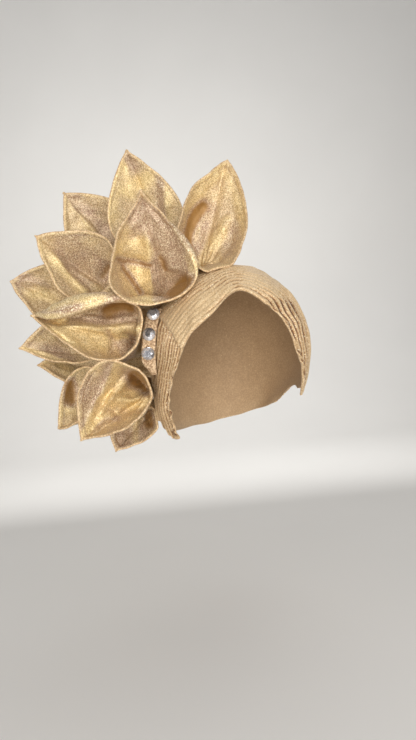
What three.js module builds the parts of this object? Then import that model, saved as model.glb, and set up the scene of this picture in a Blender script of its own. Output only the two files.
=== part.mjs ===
// Pre-tied gele head tie: a pleated gold turban cap, a fan of folded cloth petals on the wearer's
// right side, and a plain strip with three faceted stones where the two meet.
// Millimetres, +Z up. The face looks along -Y and the wearer's right side is -X.
// The origin is the middle of the head inside the cap.
import * as THREE from "three";
import { ConvexGeometry } from "three/addons/geometries/ConvexGeometry.js";

// Gap kept between pieces that touch
const GAP = 0.35;

// Small steps over which the directions of a surface are measured, and how far out a seat is sounded
const PROBE = { angle: 2, share: 0.02, height: 10 };

// Outer form that the cap fills: the head with the cloth on it
const FORM = { halfWidth: 79, halfDepth: 96, riseAbove: 84, dropBelow: 240 };

// The cap's pleats fan out round a line across the head, hubDrop below the origin and tilted up to
// the wearer's left. A place on the cap is given by its turn from the wearer's right (degrees) and
// its rise from the front, over the crown and down the back (degrees), both seen from that line.
const CAP = {
  wall: 3,
  hubDrop: 66,
  hubTilt: 10,
  napeRise: 188,
  napeTurnRight: 40,
  napeTurnLeft: 140,
  sideReach: 30,
  tailTuck: 10,
  tailTuckFrom: 0.75,
  alongSteps: 30,
  liningSteps: 12,
};

// Face edge of the cap from the wearer's right tail, over the forehead, to the left tail
const FACE_EDGE = [
  { turn: 41, rise: 0 },
  { turn: 40, rise: 17 },
  { turn: 43, rise: 34 },
  { turn: 54, rise: 42 },
  { turn: 67, rise: 46 },
  { turn: 75, rise: 49 },
  { turn: 87, rise: 51 },
  { turn: 99, rise: 57 },
  { turn: 108, rise: 51 },
  { turn: 116, rise: 45 },
  { turn: 124, rise: 35 },
  { turn: 135, rise: 26 },
  { turn: 148, rise: 8 },
];

// Pleats in order from the face edge to the nape, with the share of the way that each one takes and
// how deep it is
const PLEATS = [
  { count: 12, share: 1, depth: 1.4 },
  { count: 4, share: 2, depth: 1 },
  { count: 7, share: 6, depth: 0.5 },
];

// Depth of the pleats along the cap, as a share: full at both gathered ends
const PLEAT_DEPTH_ALONG = [
  { along: 0, share: 1 },
  { along: 0.35, share: 1 },
  { along: 0.5, share: 0.6 },
  { along: 0.7, share: 0.5 },
  { along: 0.85, share: 1 },
  { along: 1, share: 1 },
];

// Petals. seat is where the base is sewn on the cap, turned from the wearer's right toward the back
// and raised (degrees, seen from the origin). tip is the pointed end and lip the round end of the
// mouth. right and left are the mouth's half widths seen from the front with the tip upward, belly
// is how far the back wall hangs behind the mouth, swell is how far each wall bows out past a
// straight line, as a share of its length, and point is the sharpness of the tip.
const PETAL = { wall: 1.6, clearance: 1.2, seatRadius: 6, aroundSteps: 22, riseSteps: 6 };
const PETALS = [
  {
    name: "petal_top_right", seat: { turn: -6, rise: 74 }, tip: [9, -12, 182], lip: [-22, -46, 72],
    right: 29, left: 34, belly: 0, swell: { right: 0.12, left: 0.12, back: 0.12, lip: -0.06 }, point: 0.8,
  },
  {
    name: "petal_top_centre", seat: { turn: 32, rise: 50 }, tip: [-87, 22, 207], lip: [-71, 26, 108],
    right: 42, left: 34, belly: 14, swell: { right: 0.04, left: 0.04, back: 0.08, lip: -0.04 }, point: 1,
  },
  {
    name: "petal_front", seat: { turn: 3, rise: 36 }, tip: [-76, -40, 148], lip: [-70, -66, 44],
    right: 40, left: 36, belly: 0, swell: { right: 0.02, left: 0.14, back: 0.12, lip: -0.1 }, point: 1.2,
  },
  {
    name: "petal_upper_left", seat: { turn: 46, rise: 30 }, tip: [-155, 44, 174], lip: [-97, 46, 110],
    right: 36, left: 40, belly: 12, swell: { right: 0.04, left: 0.04, back: 0.08, lip: -0.04 }, point: 1,
  },
  {
    name: "petal_middle_left", seat: { turn: 26, rise: 20 }, tip: [-179, 4, 122], lip: [-110, 2, 76],
    right: 32, left: 35, belly: 10, swell: { right: 0.04, left: 0.04, back: 0.08, lip: -0.04 }, point: 1,
  },
  {
    name: "petal_far_left", seat: { turn: 46, rise: 10 }, tip: [-215, 44, 86], lip: [-136, 44, 60],
    right: 34, left: 34, belly: 12, swell: { right: 0.04, left: 0.04, back: 0.08, lip: -0.04 }, point: 0.9,
  },
  {
    name: "petal_side", seat: { turn: 4, rise: 8 }, tip: [-181, -34, 43], lip: [-84, -58, 23],
    right: 29, left: 31, belly: 0, swell: { right: 0.18, left: 0.08, back: 0.12, lip: -0.12 }, point: 1.1,
  },
  {
    name: "petal_lower_far", seat: { turn: 26, rise: -2 }, tip: [-204, 12, 16], lip: [-123, 16, 19],
    right: 32, left: 20, belly: 8, swell: { right: 0.04, left: 0.04, back: 0.08, lip: -0.04 }, point: 1,
  },
  {
    name: "petal_lower_back", seat: { turn: 48, rise: -10 }, tip: [-194, 42, -2], lip: [-123, 44, -2],
    right: 20, left: 25, belly: 15, swell: { right: 0.04, left: 0.04, back: 0.08, lip: -0.04 }, point: 1,
  },
  {
    name: "petal_lower", seat: { turn: 4, rise: -20 }, tip: [-146, -34, -72], lip: [-86, -56, -18],
    right: 38, left: 21, belly: 0, swell: { right: 0, left: 0.1, back: 0.12, lip: -0.08 }, point: 0.9,
  },
  {
    name: "petal_bottom_back", seat: { turn: 32, rise: -22 }, tip: [-175, 24, -66], lip: [-123, 24, -18],
    right: 28, left: 20, belly: 10, swell: { right: 0.04, left: 0.04, back: 0.08, lip: -0.04 }, point: 1,
  },
  {
    name: "petal_bottom", seat: { turn: 16, rise: -33 }, tip: [-119, 10, -92], lip: [-92, 6, -44],
    right: 21, left: 28, belly: 10, swell: { right: 0.04, left: 0.02, back: 0.06, lip: -0.1 }, point: 1,
  },
];

// Creases pressed into the petals: at is the place round the mouth (degrees from the tip by the
// right side), spread its half width and depth how far the wall is pushed in
const CREASES = [
  { petal: "petal_top_right", at: 25, spread: 35, depth: 6 },
  { petal: "petal_top_centre", at: 30, spread: 30, depth: 5 },
  { petal: "petal_front", at: 350, spread: 40, depth: 7 },
  { petal: "petal_front", at: 200, spread: 35, depth: 6 },
  { petal: "petal_upper_left", at: 340, spread: 30, depth: 5 },
  { petal: "petal_middle_left", at: 335, spread: 35, depth: 7 },
  { petal: "petal_far_left", at: 345, spread: 30, depth: 4 },
  { petal: "petal_side", at: 12, spread: 35, depth: 6 },
  { petal: "petal_lower_far", at: 340, spread: 30, depth: 5 },
  { petal: "petal_lower", at: 15, spread: 30, depth: 6 },
  { petal: "petal_lower", at: 300, spread: 30, depth: 4 },
  { petal: "petal_bottom_back", at: 10, spread: 30, depth: 4 },
  { petal: "petal_bottom", at: 340, spread: 35, depth: 4 },
];

// Strip of plain cloth that carries the stones: its inner edge on the cap, from top to bottom
const STRIP = { wall: 1.5, width: 12.5, backward: 10, steps: 12 };
const STRIP_EDGE = [
  { y: -32, z: 42 },
  { y: -36, z: 26 },
  { y: -38, z: 10 },
  { y: -37, z: -4 },
  { y: -37, z: -18 },
];

// Round flat-backed stones: place is the share of the strip's length, from the top
const STONE = { girdle: 6, back: 5.4, crown: 4.8, table: 3.2, sides: 8 };
const STONE_HEIGHT = { girdleLow: 0.7, girdleHigh: 1.5, crown: 3, table: 3.9 };
const STONES = [
  { name: "stone_upper", place: 0.1 },
  { name: "stone_middle", place: 0.36 },
  { name: "stone_lower", place: 0.64 },
];

const COLOURS = {
  cap: { color: 0xcda464, roughness: 0.45, metalness: 0.55 },
  petal: { color: 0xd6b06a, roughness: 0.4, metalness: 0.6 },
  strip: { color: 0xc39a62, roughness: 0.55, metalness: 0.4 },
  stone: { color: 0xe8ecf0, roughness: 0.05, metalness: 0.1 },
};

const radians = THREE.MathUtils.degToRad;
const mix = THREE.MathUtils.lerp;
const { smoothstep } = THREE.MathUtils;

// Solids from lists of corner points and triangles

class SolidBuilder {
  constructor() {
    this.corners = [];
    this.triangles = [];
  }

  corner(point) {
    this.corners.push(point);
    return this.corners.length - 1;
  }

  ring(points) {
    return points.map((point) => this.corner(point));
  }

  triangle(a, b, c) {
    this.triangles.push([a, b, c]);
  }

  // Band of quads between two rows of corners of the same length
  band(rowA, rowB, closed) {
    const count = closed ? rowA.length : rowA.length - 1;
    for (let i = 0; i < count; i += 1) {
      const next = (i + 1) % rowA.length;
      this.triangle(rowA[i], rowA[next], rowB[next]);
      this.triangle(rowA[i], rowB[next], rowB[i]);
    }
  }

  fan(centre, row) {
    row.forEach((index, i) => this.triangle(centre, index, row[(i + 1) % row.length]));
  }

  // Seam between two rows that run side by side with different spacing
  seam(rowA, placesA, rowB, placesB) {
    let a = 0;
    let b = 0;
    while (a < rowA.length - 1 || b < rowB.length - 1) {
      const stepA = a < rowA.length - 1 ? placesA[a + 1] : Infinity;
      const stepB = b < rowB.length - 1 ? placesB[b + 1] : Infinity;
      if (stepA <= stepB) {
        this.triangle(rowA[a], rowA[a + 1], rowB[b]);
        a += 1;
      } else {
        this.triangle(rowA[a], rowB[b + 1], rowB[b]);
        b += 1;
      }
    }
  }

  // Closed surface with its faces turned outward
  geometry() {
    const volume = this.triangles.reduce((sum, [a, b, c]) => (
      sum + this.corners[a].dot(this.corners[b].clone().cross(this.corners[c]))
    ), 0);
    const faces = volume < 0 ? this.triangles.map(([a, b, c]) => [a, c, b]) : this.triangles;
    const geometry = new THREE.BufferGeometry();
    geometry.setFromPoints(this.corners);
    geometry.setIndex(faces.flat());
    geometry.computeVertexNormals();
    return geometry;
  }
}

function meshOf(name, geometry, look) {
  const mesh = new THREE.Mesh(geometry, new THREE.MeshStandardMaterial(look));
  mesh.name = name;
  return mesh;
}

// The form of the head with the cap on it

function formHit(from, toward) {
  for (const rise of [FORM.riseAbove, FORM.dropBelow]) {
    const size = new THREE.Vector3(FORM.halfWidth, FORM.halfDepth, rise);
    const start = from.clone().divide(size);
    const step = toward.clone().divide(size);
    const a = step.lengthSq();
    const b = start.dot(step);
    const c = start.lengthSq() - 1;
    const reach = (Math.sqrt(b * b - a * c) - b) / a;
    const hit = from.clone().addScaledVector(toward, reach);
    if (hit.z >= 0 === (rise === FORM.riseAbove)) {
      return hit;
    }
  }
  return from.clone();
}

function formNormal(point) {
  const rise = point.z >= 0 ? FORM.riseAbove : FORM.dropBelow;
  const size = new THREE.Vector3(FORM.halfWidth, FORM.halfDepth, rise);
  return point.clone().divide(size).divide(size).normalize();
}

// Moves a point of a petal out to where its wall lies on the cap
function clearOfCap(point) {
  const rise = point.z >= 0 ? FORM.riseAbove : FORM.dropBelow;
  const size = new THREE.Vector3(FORM.halfWidth, FORM.halfDepth, rise);
  const share = point.clone().divide(size).length();
  const closest = 1 + PETAL.clearance / FORM.halfWidth;
  return share < closest ? point.multiplyScalar(closest / share) : point;
}

function interpolate(rows, key, place, value) {
  const next = rows.findIndex((row) => row[key] >= place);
  if (next <= 0) {
    return rows[0][value];
  }
  const low = rows[next - 1];
  const high = rows[next];
  return mix(low[value], high[value], (place - low[key]) / (high[key] - low[key]));
}

// Cap

const faceEdge = new THREE.SplineCurve(FACE_EDGE.map((row) => new THREE.Vector2(row.turn, row.rise)));

function capPoint(along, across, inset) {
  const edge = faceEdge.getPoint(along);
  const napeTurn = mix(CAP.napeTurnRight, CAP.napeTurnLeft, along);
  const sideways = CAP.sideReach * Math.sqrt(Math.sin(Math.PI * across)) * (1 - 2 * along);
  const turn = radians(mix(edge.x, napeTurn, across) - sideways);
  const rise = radians(mix(edge.y, CAP.napeRise, across));
  const hub = new THREE.Vector3(0, 0, -CAP.hubDrop);
  const toward = new THREE.Vector3(
    -Math.cos(turn),
    -Math.sin(turn) * Math.cos(rise),
    Math.sin(turn) * Math.sin(rise),
  );
  toward.applyAxisAngle(new THREE.Vector3(0, -1, 0), radians(CAP.hubTilt));
  const point = formHit(hub, toward);
  const tuck = CAP.tailTuck * smoothstep(along, CAP.tailTuckFrom, 1) * smoothstep(-point.z, 0, CAP.hubDrop);
  return point.addScaledVector(formNormal(point), -inset - tuck);
}

// Crests and valleys of the pleats, from the face edge to the nape
function pleatStations() {
  const total = PLEATS.reduce((sum, row) => sum + row.count * row.share, 0);
  const stations = [];
  let place = 0;
  for (const row of PLEATS) {
    for (let i = 0; i < row.count; i += 1) {
      stations.push({ across: place / total, depth: 0 });
      stations.push({ across: (place + row.share / 2) / total, depth: row.depth });
      place += row.share;
    }
  }
  stations.push({ across: 1, depth: 0 });
  return stations;
}

function makeCap() {
  const solid = new SolidBuilder();
  const stations = pleatStations();
  const liningPlaces = Array.from({ length: CAP.liningSteps + 1 }, (_, j) => j / CAP.liningSteps);
  const outside = [];
  const lining = [];
  for (let i = 0; i <= CAP.alongSteps; i += 1) {
    const along = i / CAP.alongSteps;
    const share = interpolate(PLEAT_DEPTH_ALONG, "along", along, "share");
    outside.push(solid.ring(stations.map((row) => capPoint(along, row.across, row.depth * share))));
    lining.push(solid.ring(liningPlaces.map((across) => capPoint(along, across, CAP.wall))));
  }
  for (let i = 0; i < CAP.alongSteps; i += 1) {
    solid.band(outside[i], outside[i + 1], false);
    solid.band(lining[i + 1], lining[i], false);
  }
  const column = (rows, j) => rows.map((row) => row.at(j));
  solid.band(column(outside, 0), column(lining, 0), false);
  solid.band(column(lining, -1), column(outside, -1), false);
  const outsidePlaces = stations.map((row) => row.across);
  solid.seam(lining[0], liningPlaces, outside[0], outsidePlaces);
  solid.seam(outside.at(-1), outsidePlaces, lining.at(-1), liningPlaces);
  return meshOf("cap", solid.geometry(), COLOURS.cap);
}

// Petals

// How far the cap's wall lies below the form at a seat, at its highest point under it
function capDepth(cap, onForm) {
  const normal = formNormal(onForm);
  const sideA = new THREE.Vector3(0, 1, 0).cross(normal).normalize();
  const sideB = normal.clone().cross(sideA);
  const depths = [];
  for (let i = 0; i <= PETAL.aroundSteps; i += 1) {
    const radius = i === 0 ? 0 : PETAL.seatRadius + PETAL.wall;
    const turn = (2 * Math.PI * i) / PETAL.aroundSteps;
    const from = onForm.clone().addScaledVector(normal, PROBE.height)
      .addScaledVector(sideA, radius * Math.cos(turn))
      .addScaledVector(sideB, radius * Math.sin(turn));
    const [hit] = new THREE.Raycaster(from, normal.clone().negate()).intersectObject(cap);
    depths.push(hit.distance - PROBE.height);
  }
  return Math.min(...depths);
}

// Frame of one petal: its seat on the cap, the line of its mouth and the directions round it. The
// foot is turned so that the walls reach the mouth untwisted
function petalFrame(petal, cap) {
  const turn = radians(petal.seat.turn);
  const rise = radians(petal.seat.rise);
  const toward = new THREE.Vector3(
    -Math.cos(rise) * Math.cos(turn),
    Math.cos(rise) * Math.sin(turn),
    Math.sin(rise),
  );
  const onForm = formHit(new THREE.Vector3(), toward);
  const seatNormal = formNormal(onForm);
  const seat = onForm.clone().addScaledVector(seatNormal, PETAL.wall / 2 + GAP - capDepth(cap, onForm));
  const tip = new THREE.Vector3(...petal.tip);
  const lip = new THREE.Vector3(...petal.lip);
  const along = tip.clone().sub(lip).normalize();
  const facing = new THREE.Vector3(0, -1, 0);
  facing.addScaledVector(along, -facing.dot(along)).normalize();
  const side = along.clone().cross(facing);
  const halfLength = tip.distanceTo(lip) / 2;
  const halfWidth = (petal.right + petal.left) / 2;
  const seatAlong = along.clone().multiplyScalar(halfLength)
    .addScaledVector(seatNormal.clone().cross(side), halfWidth);
  seatAlong.addScaledVector(seatNormal, -seatAlong.dot(seatNormal)).normalize();
  const seatSide = seatAlong.clone().cross(seatNormal);
  const axisMiddle = tip.clone().lerp(lip, 0.5).lerp(seat, 0.5);
  return { seat, seatNormal, seatAlong, seatSide, tip, lip, facing, side, axisMiddle };
}

// Half width of the mouth between the tip (0) and the lip (1), as a share of its widest
function mouthShare(place, point) {
  const widest = (2 * point) / (2 * point + 1);
  const shape = (at) => at ** point * Math.sqrt(1 - at);
  return shape(place) / shape(widest);
}

function creasePush(petal, angle) {
  let push = 0;
  for (const crease of CREASES.filter((row) => row.petal === petal.name)) {
    const away = Math.abs(THREE.MathUtils.euclideanModulo(angle - crease.at + 180, 360) - 180);
    if (away < crease.spread) {
      push += crease.depth * (1 - away / crease.spread);
    }
  }
  return push;
}

// Point of the petal's middle surface: angle round the mouth in degrees, up from the seat (0) to
// the rim (1)
function petalPoint(petal, frame, angle, up) {
  const turn = radians(angle);
  const place = (1 - Math.cos(turn)) / 2;
  const toRight = Math.sin(turn) >= 0;
  const halfWidth = (toRight ? petal.right : -petal.left) * mouthShare(place, petal.point);
  const rim = frame.tip.clone().lerp(frame.lip, place).addScaledVector(frame.side, halfWidth);
  const foot = frame.seat.clone()
    .addScaledVector(frame.seatAlong, PETAL.seatRadius * Math.cos(turn))
    .addScaledVector(frame.seatSide, PETAL.seatRadius * Math.sin(turn));
  const wall = rim.clone().sub(foot);
  const control = foot.clone().lerp(rim, 0.5);
  const outward = control.clone().sub(frame.axisMiddle).normalize();
  const endSwell = Math.cos(turn) >= 0 ? petal.swell.back : petal.swell.lip;
  const sideSwell = toRight ? petal.swell.right : petal.swell.left;
  const swell = mix(endSwell, sideSwell, Math.sin(turn) ** 2);
  control.addScaledVector(outward, 2 * swell * wall.length());
  const point = foot.multiplyScalar((1 - up) ** 2)
    .addScaledVector(control, 2 * up * (1 - up))
    .addScaledVector(rim, up ** 2);
  const middle = Math.sin(Math.PI * up);
  point.addScaledVector(outward, -creasePush(petal, angle) * middle);
  point.addScaledVector(frame.facing, -petal.belly * (1 - place) * middle);
  return clearOfCap(point);
}

function petalNormal(petal, frame, angle, up) {
  const high = Math.min(up + PROBE.share, 1);
  const low = Math.max(up - PROBE.share, 0);
  const across = petalPoint(petal, frame, angle + PROBE.angle, up)
    .sub(petalPoint(petal, frame, angle - PROBE.angle, up));
  const upward = petalPoint(petal, frame, angle, high).sub(petalPoint(petal, frame, angle, low));
  return upward.cross(across).normalize();
}

function makePetal(petal, cap) {
  const solid = new SolidBuilder();
  const frame = petalFrame(petal, cap);
  const half = PETAL.wall / 2;
  const rows = { inside: [], outside: [] };
  const angles = Array.from({ length: PETAL.aroundSteps }, (_, i) => (360 * i) / PETAL.aroundSteps);
  for (const [name, sign] of [["inside", -1], ["outside", 1]]) {
    const foot = angles.map((angle) => {
      const point = petalPoint(petal, frame, angle, 0);
      const radius = point.clone().sub(frame.seat).normalize();
      return point.addScaledVector(radius, sign * half).addScaledVector(frame.seatNormal, -sign * half);
    });
    rows[name].push(solid.ring(foot));
    for (let j = 1; j <= PETAL.riseSteps; j += 1) {
      const up = j / PETAL.riseSteps;
      rows[name].push(solid.ring(angles.map((angle) => (
        petalPoint(petal, frame, angle, up)
          .addScaledVector(petalNormal(petal, frame, angle, up), sign * half)
      ))));
    }
  }
  for (let j = 0; j < PETAL.riseSteps; j += 1) {
    solid.band(rows.outside[j], rows.outside[j + 1], true);
    solid.band(rows.inside[j + 1], rows.inside[j], true);
  }
  solid.band(rows.outside.at(-1), rows.inside.at(-1), true);
  const under = solid.corner(frame.seat.clone().addScaledVector(frame.seatNormal, -half));
  const over = solid.corner(frame.seat.clone().addScaledVector(frame.seatNormal, half));
  solid.fan(under, rows.outside[0].slice().reverse());
  solid.fan(over, rows.inside[0]);
  return meshOf(petal.name, solid.geometry(), COLOURS.petal);
}

// Strip and stones

const stripEdge = new THREE.SplineCurve(STRIP_EDGE.map((row) => new THREE.Vector2(row.y, row.z)));

function stripEdgePoint(place) {
  const { x: y, y: z } = stripEdge.getPoint(place);
  const rise = z >= 0 ? FORM.riseAbove : FORM.dropBelow;
  const share = 1 - (y / FORM.halfDepth) ** 2 - (z / rise) ** 2;
  const point = new THREE.Vector3(-FORM.halfWidth * Math.sqrt(share), y, z);
  return point.addScaledVector(formNormal(point), GAP + STRIP.wall / 2);
}

// A place down the strip (0 to 1): its inner edge, and the directions across it and out of its front
function stripFrame(place) {
  const edge = stripEdgePoint(place);
  const backward = radians(STRIP.backward);
  const across = new THREE.Vector3(-Math.cos(backward), Math.sin(backward), 0);
  const above = stripEdgePoint(Math.max(place - PROBE.share, 0));
  const below = stripEdgePoint(Math.min(place + PROBE.share, 1));
  const front = across.clone().cross(below.sub(above)).normalize();
  return { edge, across, front };
}

function makeStrip() {
  const solid = new SolidBuilder();
  const half = STRIP.wall / 2;
  const places = Array.from({ length: STRIP.steps + 1 }, (_, i) => i / STRIP.steps);
  const sections = places.map((place) => {
    const { edge, across, front } = stripFrame(place);
    const corner = (width, out) => (
      edge.clone().addScaledVector(across, width).addScaledVector(front, out)
    );
    return solid.ring([corner(0, -half), corner(STRIP.width, -half), corner(STRIP.width, half),
      corner(0, half)]);
  });
  for (let i = 0; i < sections.length - 1; i += 1) {
    solid.band(sections[i], sections[i + 1], true);
  }
  const [a, b, c, d] = sections[0];
  solid.triangle(a, c, b);
  solid.triangle(a, d, c);
  const [e, f, g, h] = sections.at(-1);
  solid.triangle(e, f, g);
  solid.triangle(e, g, h);
  return meshOf("stone_strip", solid.geometry(), COLOURS.strip);
}

function makeStone(stone) {
  const { edge, across, front } = stripFrame(stone.place);
  const points = [];
  const ring = (radius, height, count, offset) => {
    for (let i = 0; i < count; i += 1) {
      const angle = (2 * Math.PI * (i + offset)) / count;
      points.push(new THREE.Vector3(radius * Math.cos(angle), radius * Math.sin(angle), height));
    }
  };
  ring(STONE.back, 0, 2 * STONE.sides, 0);
  ring(STONE.girdle, STONE_HEIGHT.girdleLow, 2 * STONE.sides, 0);
  ring(STONE.girdle, STONE_HEIGHT.girdleHigh, 2 * STONE.sides, 0);
  ring(STONE.crown, STONE_HEIGHT.crown, STONE.sides, 0);
  ring(STONE.table, STONE_HEIGHT.table, STONE.sides, 0.5);
  const mesh = meshOf(stone.name, new ConvexGeometry(points), COLOURS.stone);
  mesh.position.copy(edge)
    .addScaledVector(across, STRIP.width / 2)
    .addScaledVector(front, STRIP.wall / 2 + GAP);
  mesh.quaternion.setFromUnitVectors(new THREE.Vector3(0, 0, 1), front);
  return mesh;
}

const headTie = new THREE.Group();
const cap = makeCap();
headTie.add(cap, makeStrip());
for (const stone of STONES) {
  headTie.add(makeStone(stone));
}
for (const petal of PETALS) {
  headTie.add(makePetal(petal, cap));
}

export default headTie;
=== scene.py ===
"""Looks of a pre-tied gold gele: a pleated cap, folded cloth petals, and cut stones on a strip.

Sizes are millimetres in the part's own frame, with +Z up and the face looking along -Y, and become
Blender's metres where a mesh is written. Pixels are those of the photograph's 416 x 740 frame.
"""

import logging
import math
from dataclasses import dataclass, field
from enum import Enum
from itertools import pairwise

import bpy
import numpy as np
from mathutils import Matrix
from mathutils.bvhtree import BVHTree

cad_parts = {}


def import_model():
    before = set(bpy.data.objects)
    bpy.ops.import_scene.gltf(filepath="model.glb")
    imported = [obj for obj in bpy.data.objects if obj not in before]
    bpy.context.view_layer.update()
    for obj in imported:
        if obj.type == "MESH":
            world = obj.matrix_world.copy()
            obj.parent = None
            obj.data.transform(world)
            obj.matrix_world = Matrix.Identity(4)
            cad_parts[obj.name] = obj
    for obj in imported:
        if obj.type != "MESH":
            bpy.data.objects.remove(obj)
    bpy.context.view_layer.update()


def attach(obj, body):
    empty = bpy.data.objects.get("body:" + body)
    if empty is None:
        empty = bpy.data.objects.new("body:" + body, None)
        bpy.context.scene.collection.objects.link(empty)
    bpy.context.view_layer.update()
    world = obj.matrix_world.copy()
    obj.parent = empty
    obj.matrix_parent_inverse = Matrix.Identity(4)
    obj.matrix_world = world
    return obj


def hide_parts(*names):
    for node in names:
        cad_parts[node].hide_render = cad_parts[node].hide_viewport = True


LOG = logging.getLogger("gele")
MM = 0.001
BODY = "root"
FIRST_PETAL_SEED = 20
SWELL_DIRECTIONS = 5
GOLD_TONE, GROUND_TONE, HOLLOW_SHADE_TONE = 1, -1, -2

Array = np.ndarray
Pair = tuple[float, float]
Pixel = tuple[float, float]
Point = tuple[float, float, float]
Colour = tuple[float, float, float, float]


class Slot(Enum):
    """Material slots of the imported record."""

    PLEATS = "pleated_cloth"
    PETALS = "petal_cloth"
    STRIP = "strip_cloth"
    STONES = "clear_stone"


class Blend(Enum):
    """Ways to lay one colour on another."""

    OVER = "MIX"
    DIM = "MULTIPLY"


def paint(red: float, green: float, blue: float) -> Colour:
    """Turns a display colour into the linear one that shaders take.

    Args:
        red: Red as a display shows it, 0 to 255.
        green: Green, 0 to 255.
        blue: Blue, 0 to 255.

    Returns:
        The linear colour with full alpha.
    """
    shown = np.array([red, green, blue]) / 255
    linear = np.where(shown <= 0.04045, shown / 12.92, ((shown + 0.055) / 1.055) ** 2.4)
    return (*linear.tolist(), 1.0)


def unit(vectors: Array) -> Array:
    """Vectors of the same directions and length one."""
    return vectors / np.linalg.norm(vectors, axis=-1, keepdims=True)


def ease(value: Array, low: float, high: float) -> Array:
    """A smooth step from 0 at low to 1 at high."""
    share = np.clip((value - low) / (high - low), 0, 1)
    return share * share * (3 - 2 * share)


def spline(rows: Array, places: Array) -> Array:
    """Points on the smooth curve through evenly timed rows.

    Args:
        rows: The points that the curve passes through, one a row.
        places: Shares of the way along the curve, 0 to 1.

    Returns:
        One point for each place.
    """
    last = len(rows) - 1
    spot = np.clip(places, 0, 1) * last
    low = np.minimum(spot.astype(int), last)
    share = (spot - low)[..., None]
    before, start = rows[np.maximum(low - 1, 0)], rows[low]
    end, after = rows[np.minimum(low + 1, last)], rows[np.minimum(low + 2, last)]
    leave, arrive = (end - before) / 2, (after - start) / 2
    cubic = 2 * start - 2 * end + leave + arrive
    square = 3 * end - 3 * start - 2 * leave - arrive
    return ((cubic * share + square) * share + leave) * share + start


def crumple(points: Array, seed: int, waves: tuple[Pair, ...]) -> Array:
    """Soft uneven swells, as handled cloth keeps.

    Args:
        points: Where the swells are wanted.
        seed: Fixes the directions and phases.
        waves: Wave length and height of each size of swell.

    Returns:
        A height for each point.
    """
    rng = np.random.default_rng(seed)
    height = np.zeros(points.shape[:-1])
    for length, size in waves:
        for direction in unit(rng.normal(size=(SWELL_DIRECTIONS, 3))):
            phase = rng.uniform(0, 2 * math.pi)
            height += size / 2 * np.sin(points @ direction * (2 * math.pi / length) + phase)
    return height


def closed(grid: Array) -> Array:
    """A grid whose columns run round, with its first column once more at the end."""
    return np.hstack([grid, grid[:, :1]])


def grid_area(grid: Array) -> float:
    """Area of the surface through a grid of points.

    Args:
        grid: Points in rows and columns.

    Returns:
        The area, in the square of the points' unit.
    """
    first = grid[1:, :-1] - grid[:-1, :-1]
    second = grid[:-1, 1:] - grid[:-1, :-1]
    return float(np.linalg.norm(np.cross(first, second), axis=-1).sum())


def add_to_scene(name: str, data: bpy.types.ID) -> bpy.types.Object:
    """Adds an object to the scene.

    Args:
        name: The object's name.
        data: Its mesh, camera or lamp.

    Returns:
        The object.
    """
    made = bpy.data.objects.new(name, data)
    bpy.context.scene.collection.objects.link(made)
    return made


def stand(item: bpy.types.Object, axes: list[Array], place: Array) -> None:
    """Stands a camera or a lamp somewhere.

    Args:
        item: The object to move.
        axes: The directions that its own three axes take.
        place: Where it stands, in metres.
    """
    turned = np.eye(4)
    turned[:3, :3] = np.array(axes).T
    turned[:3, 3] = place
    item.matrix_world = Matrix(turned.tolist())


@dataclass(frozen=True)
class PhotoView:
    """The photograph's camera, and where points of the object fall in its frame."""

    width: float = 416
    height: float = 740
    focal: float = 534
    distance: float = 534
    azimuth: float = -6
    elevation: float = 2
    roll: float = 4
    middle: Pixel = (229, 350)
    sensor: float = 36
    nearest: float = 10

    def axes(self) -> Array:
        """The picture's own directions.

        Returns:
            Its right, up and forward directions, one a row.
        """
        turn, lift, roll = np.radians([self.azimuth, self.elevation, self.roll])
        flat = math.cos(lift)
        forward = np.array([-math.sin(turn) * flat, math.cos(turn) * flat, -math.sin(lift)])
        level = unit(np.cross(forward, [0, 0, 1]))
        upright = np.cross(level, forward)
        right = math.cos(roll) * level - math.sin(roll) * upright
        up = math.sin(roll) * level + math.cos(roll) * upright
        return np.array([right, up, forward])

    def eye(self) -> Array:
        """The camera's place.

        Returns:
            The place, in millimetres.
        """
        right, up, forward = self.axes()
        across = (self.middle[0] - self.width / 2) / self.focal
        above = (self.height / 2 - self.middle[1]) / self.focal
        return -self.distance * (across * right + above * up + forward)

    def pixels(self, points: Array) -> Array:
        """Where points fall in the photograph's frame.

        Args:
            points: Points of the object, in millimetres.

        Returns:
            One pixel for each point.
        """
        seen = (points - self.eye()) @ self.axes().T
        scale = self.focal / seen[..., 2]
        across = self.width / 2 + scale * seen[..., 0]
        down = self.height / 2 - scale * seen[..., 1]
        return np.stack([across, down], axis=-1)

    def toward_eye(self, points: Array) -> Array:
        """Directions from points to the camera."""
        return unit(self.eye() - points)

    def make_camera(self) -> bpy.types.Object:
        """Makes the scene's camera at the photograph's viewing angle.

        Returns:
            The camera.
        """
        data = bpy.data.cameras.new("photo_camera")
        data.sensor_width = self.sensor
        data.lens = self.focal * self.sensor / self.height
        data.clip_start = self.nearest * MM
        camera = add_to_scene(data.name, data)
        right, up, forward = self.axes()
        stand(camera, [right, up, -forward], self.eye() * MM)
        bpy.context.scene.camera = camera
        return camera


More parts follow.
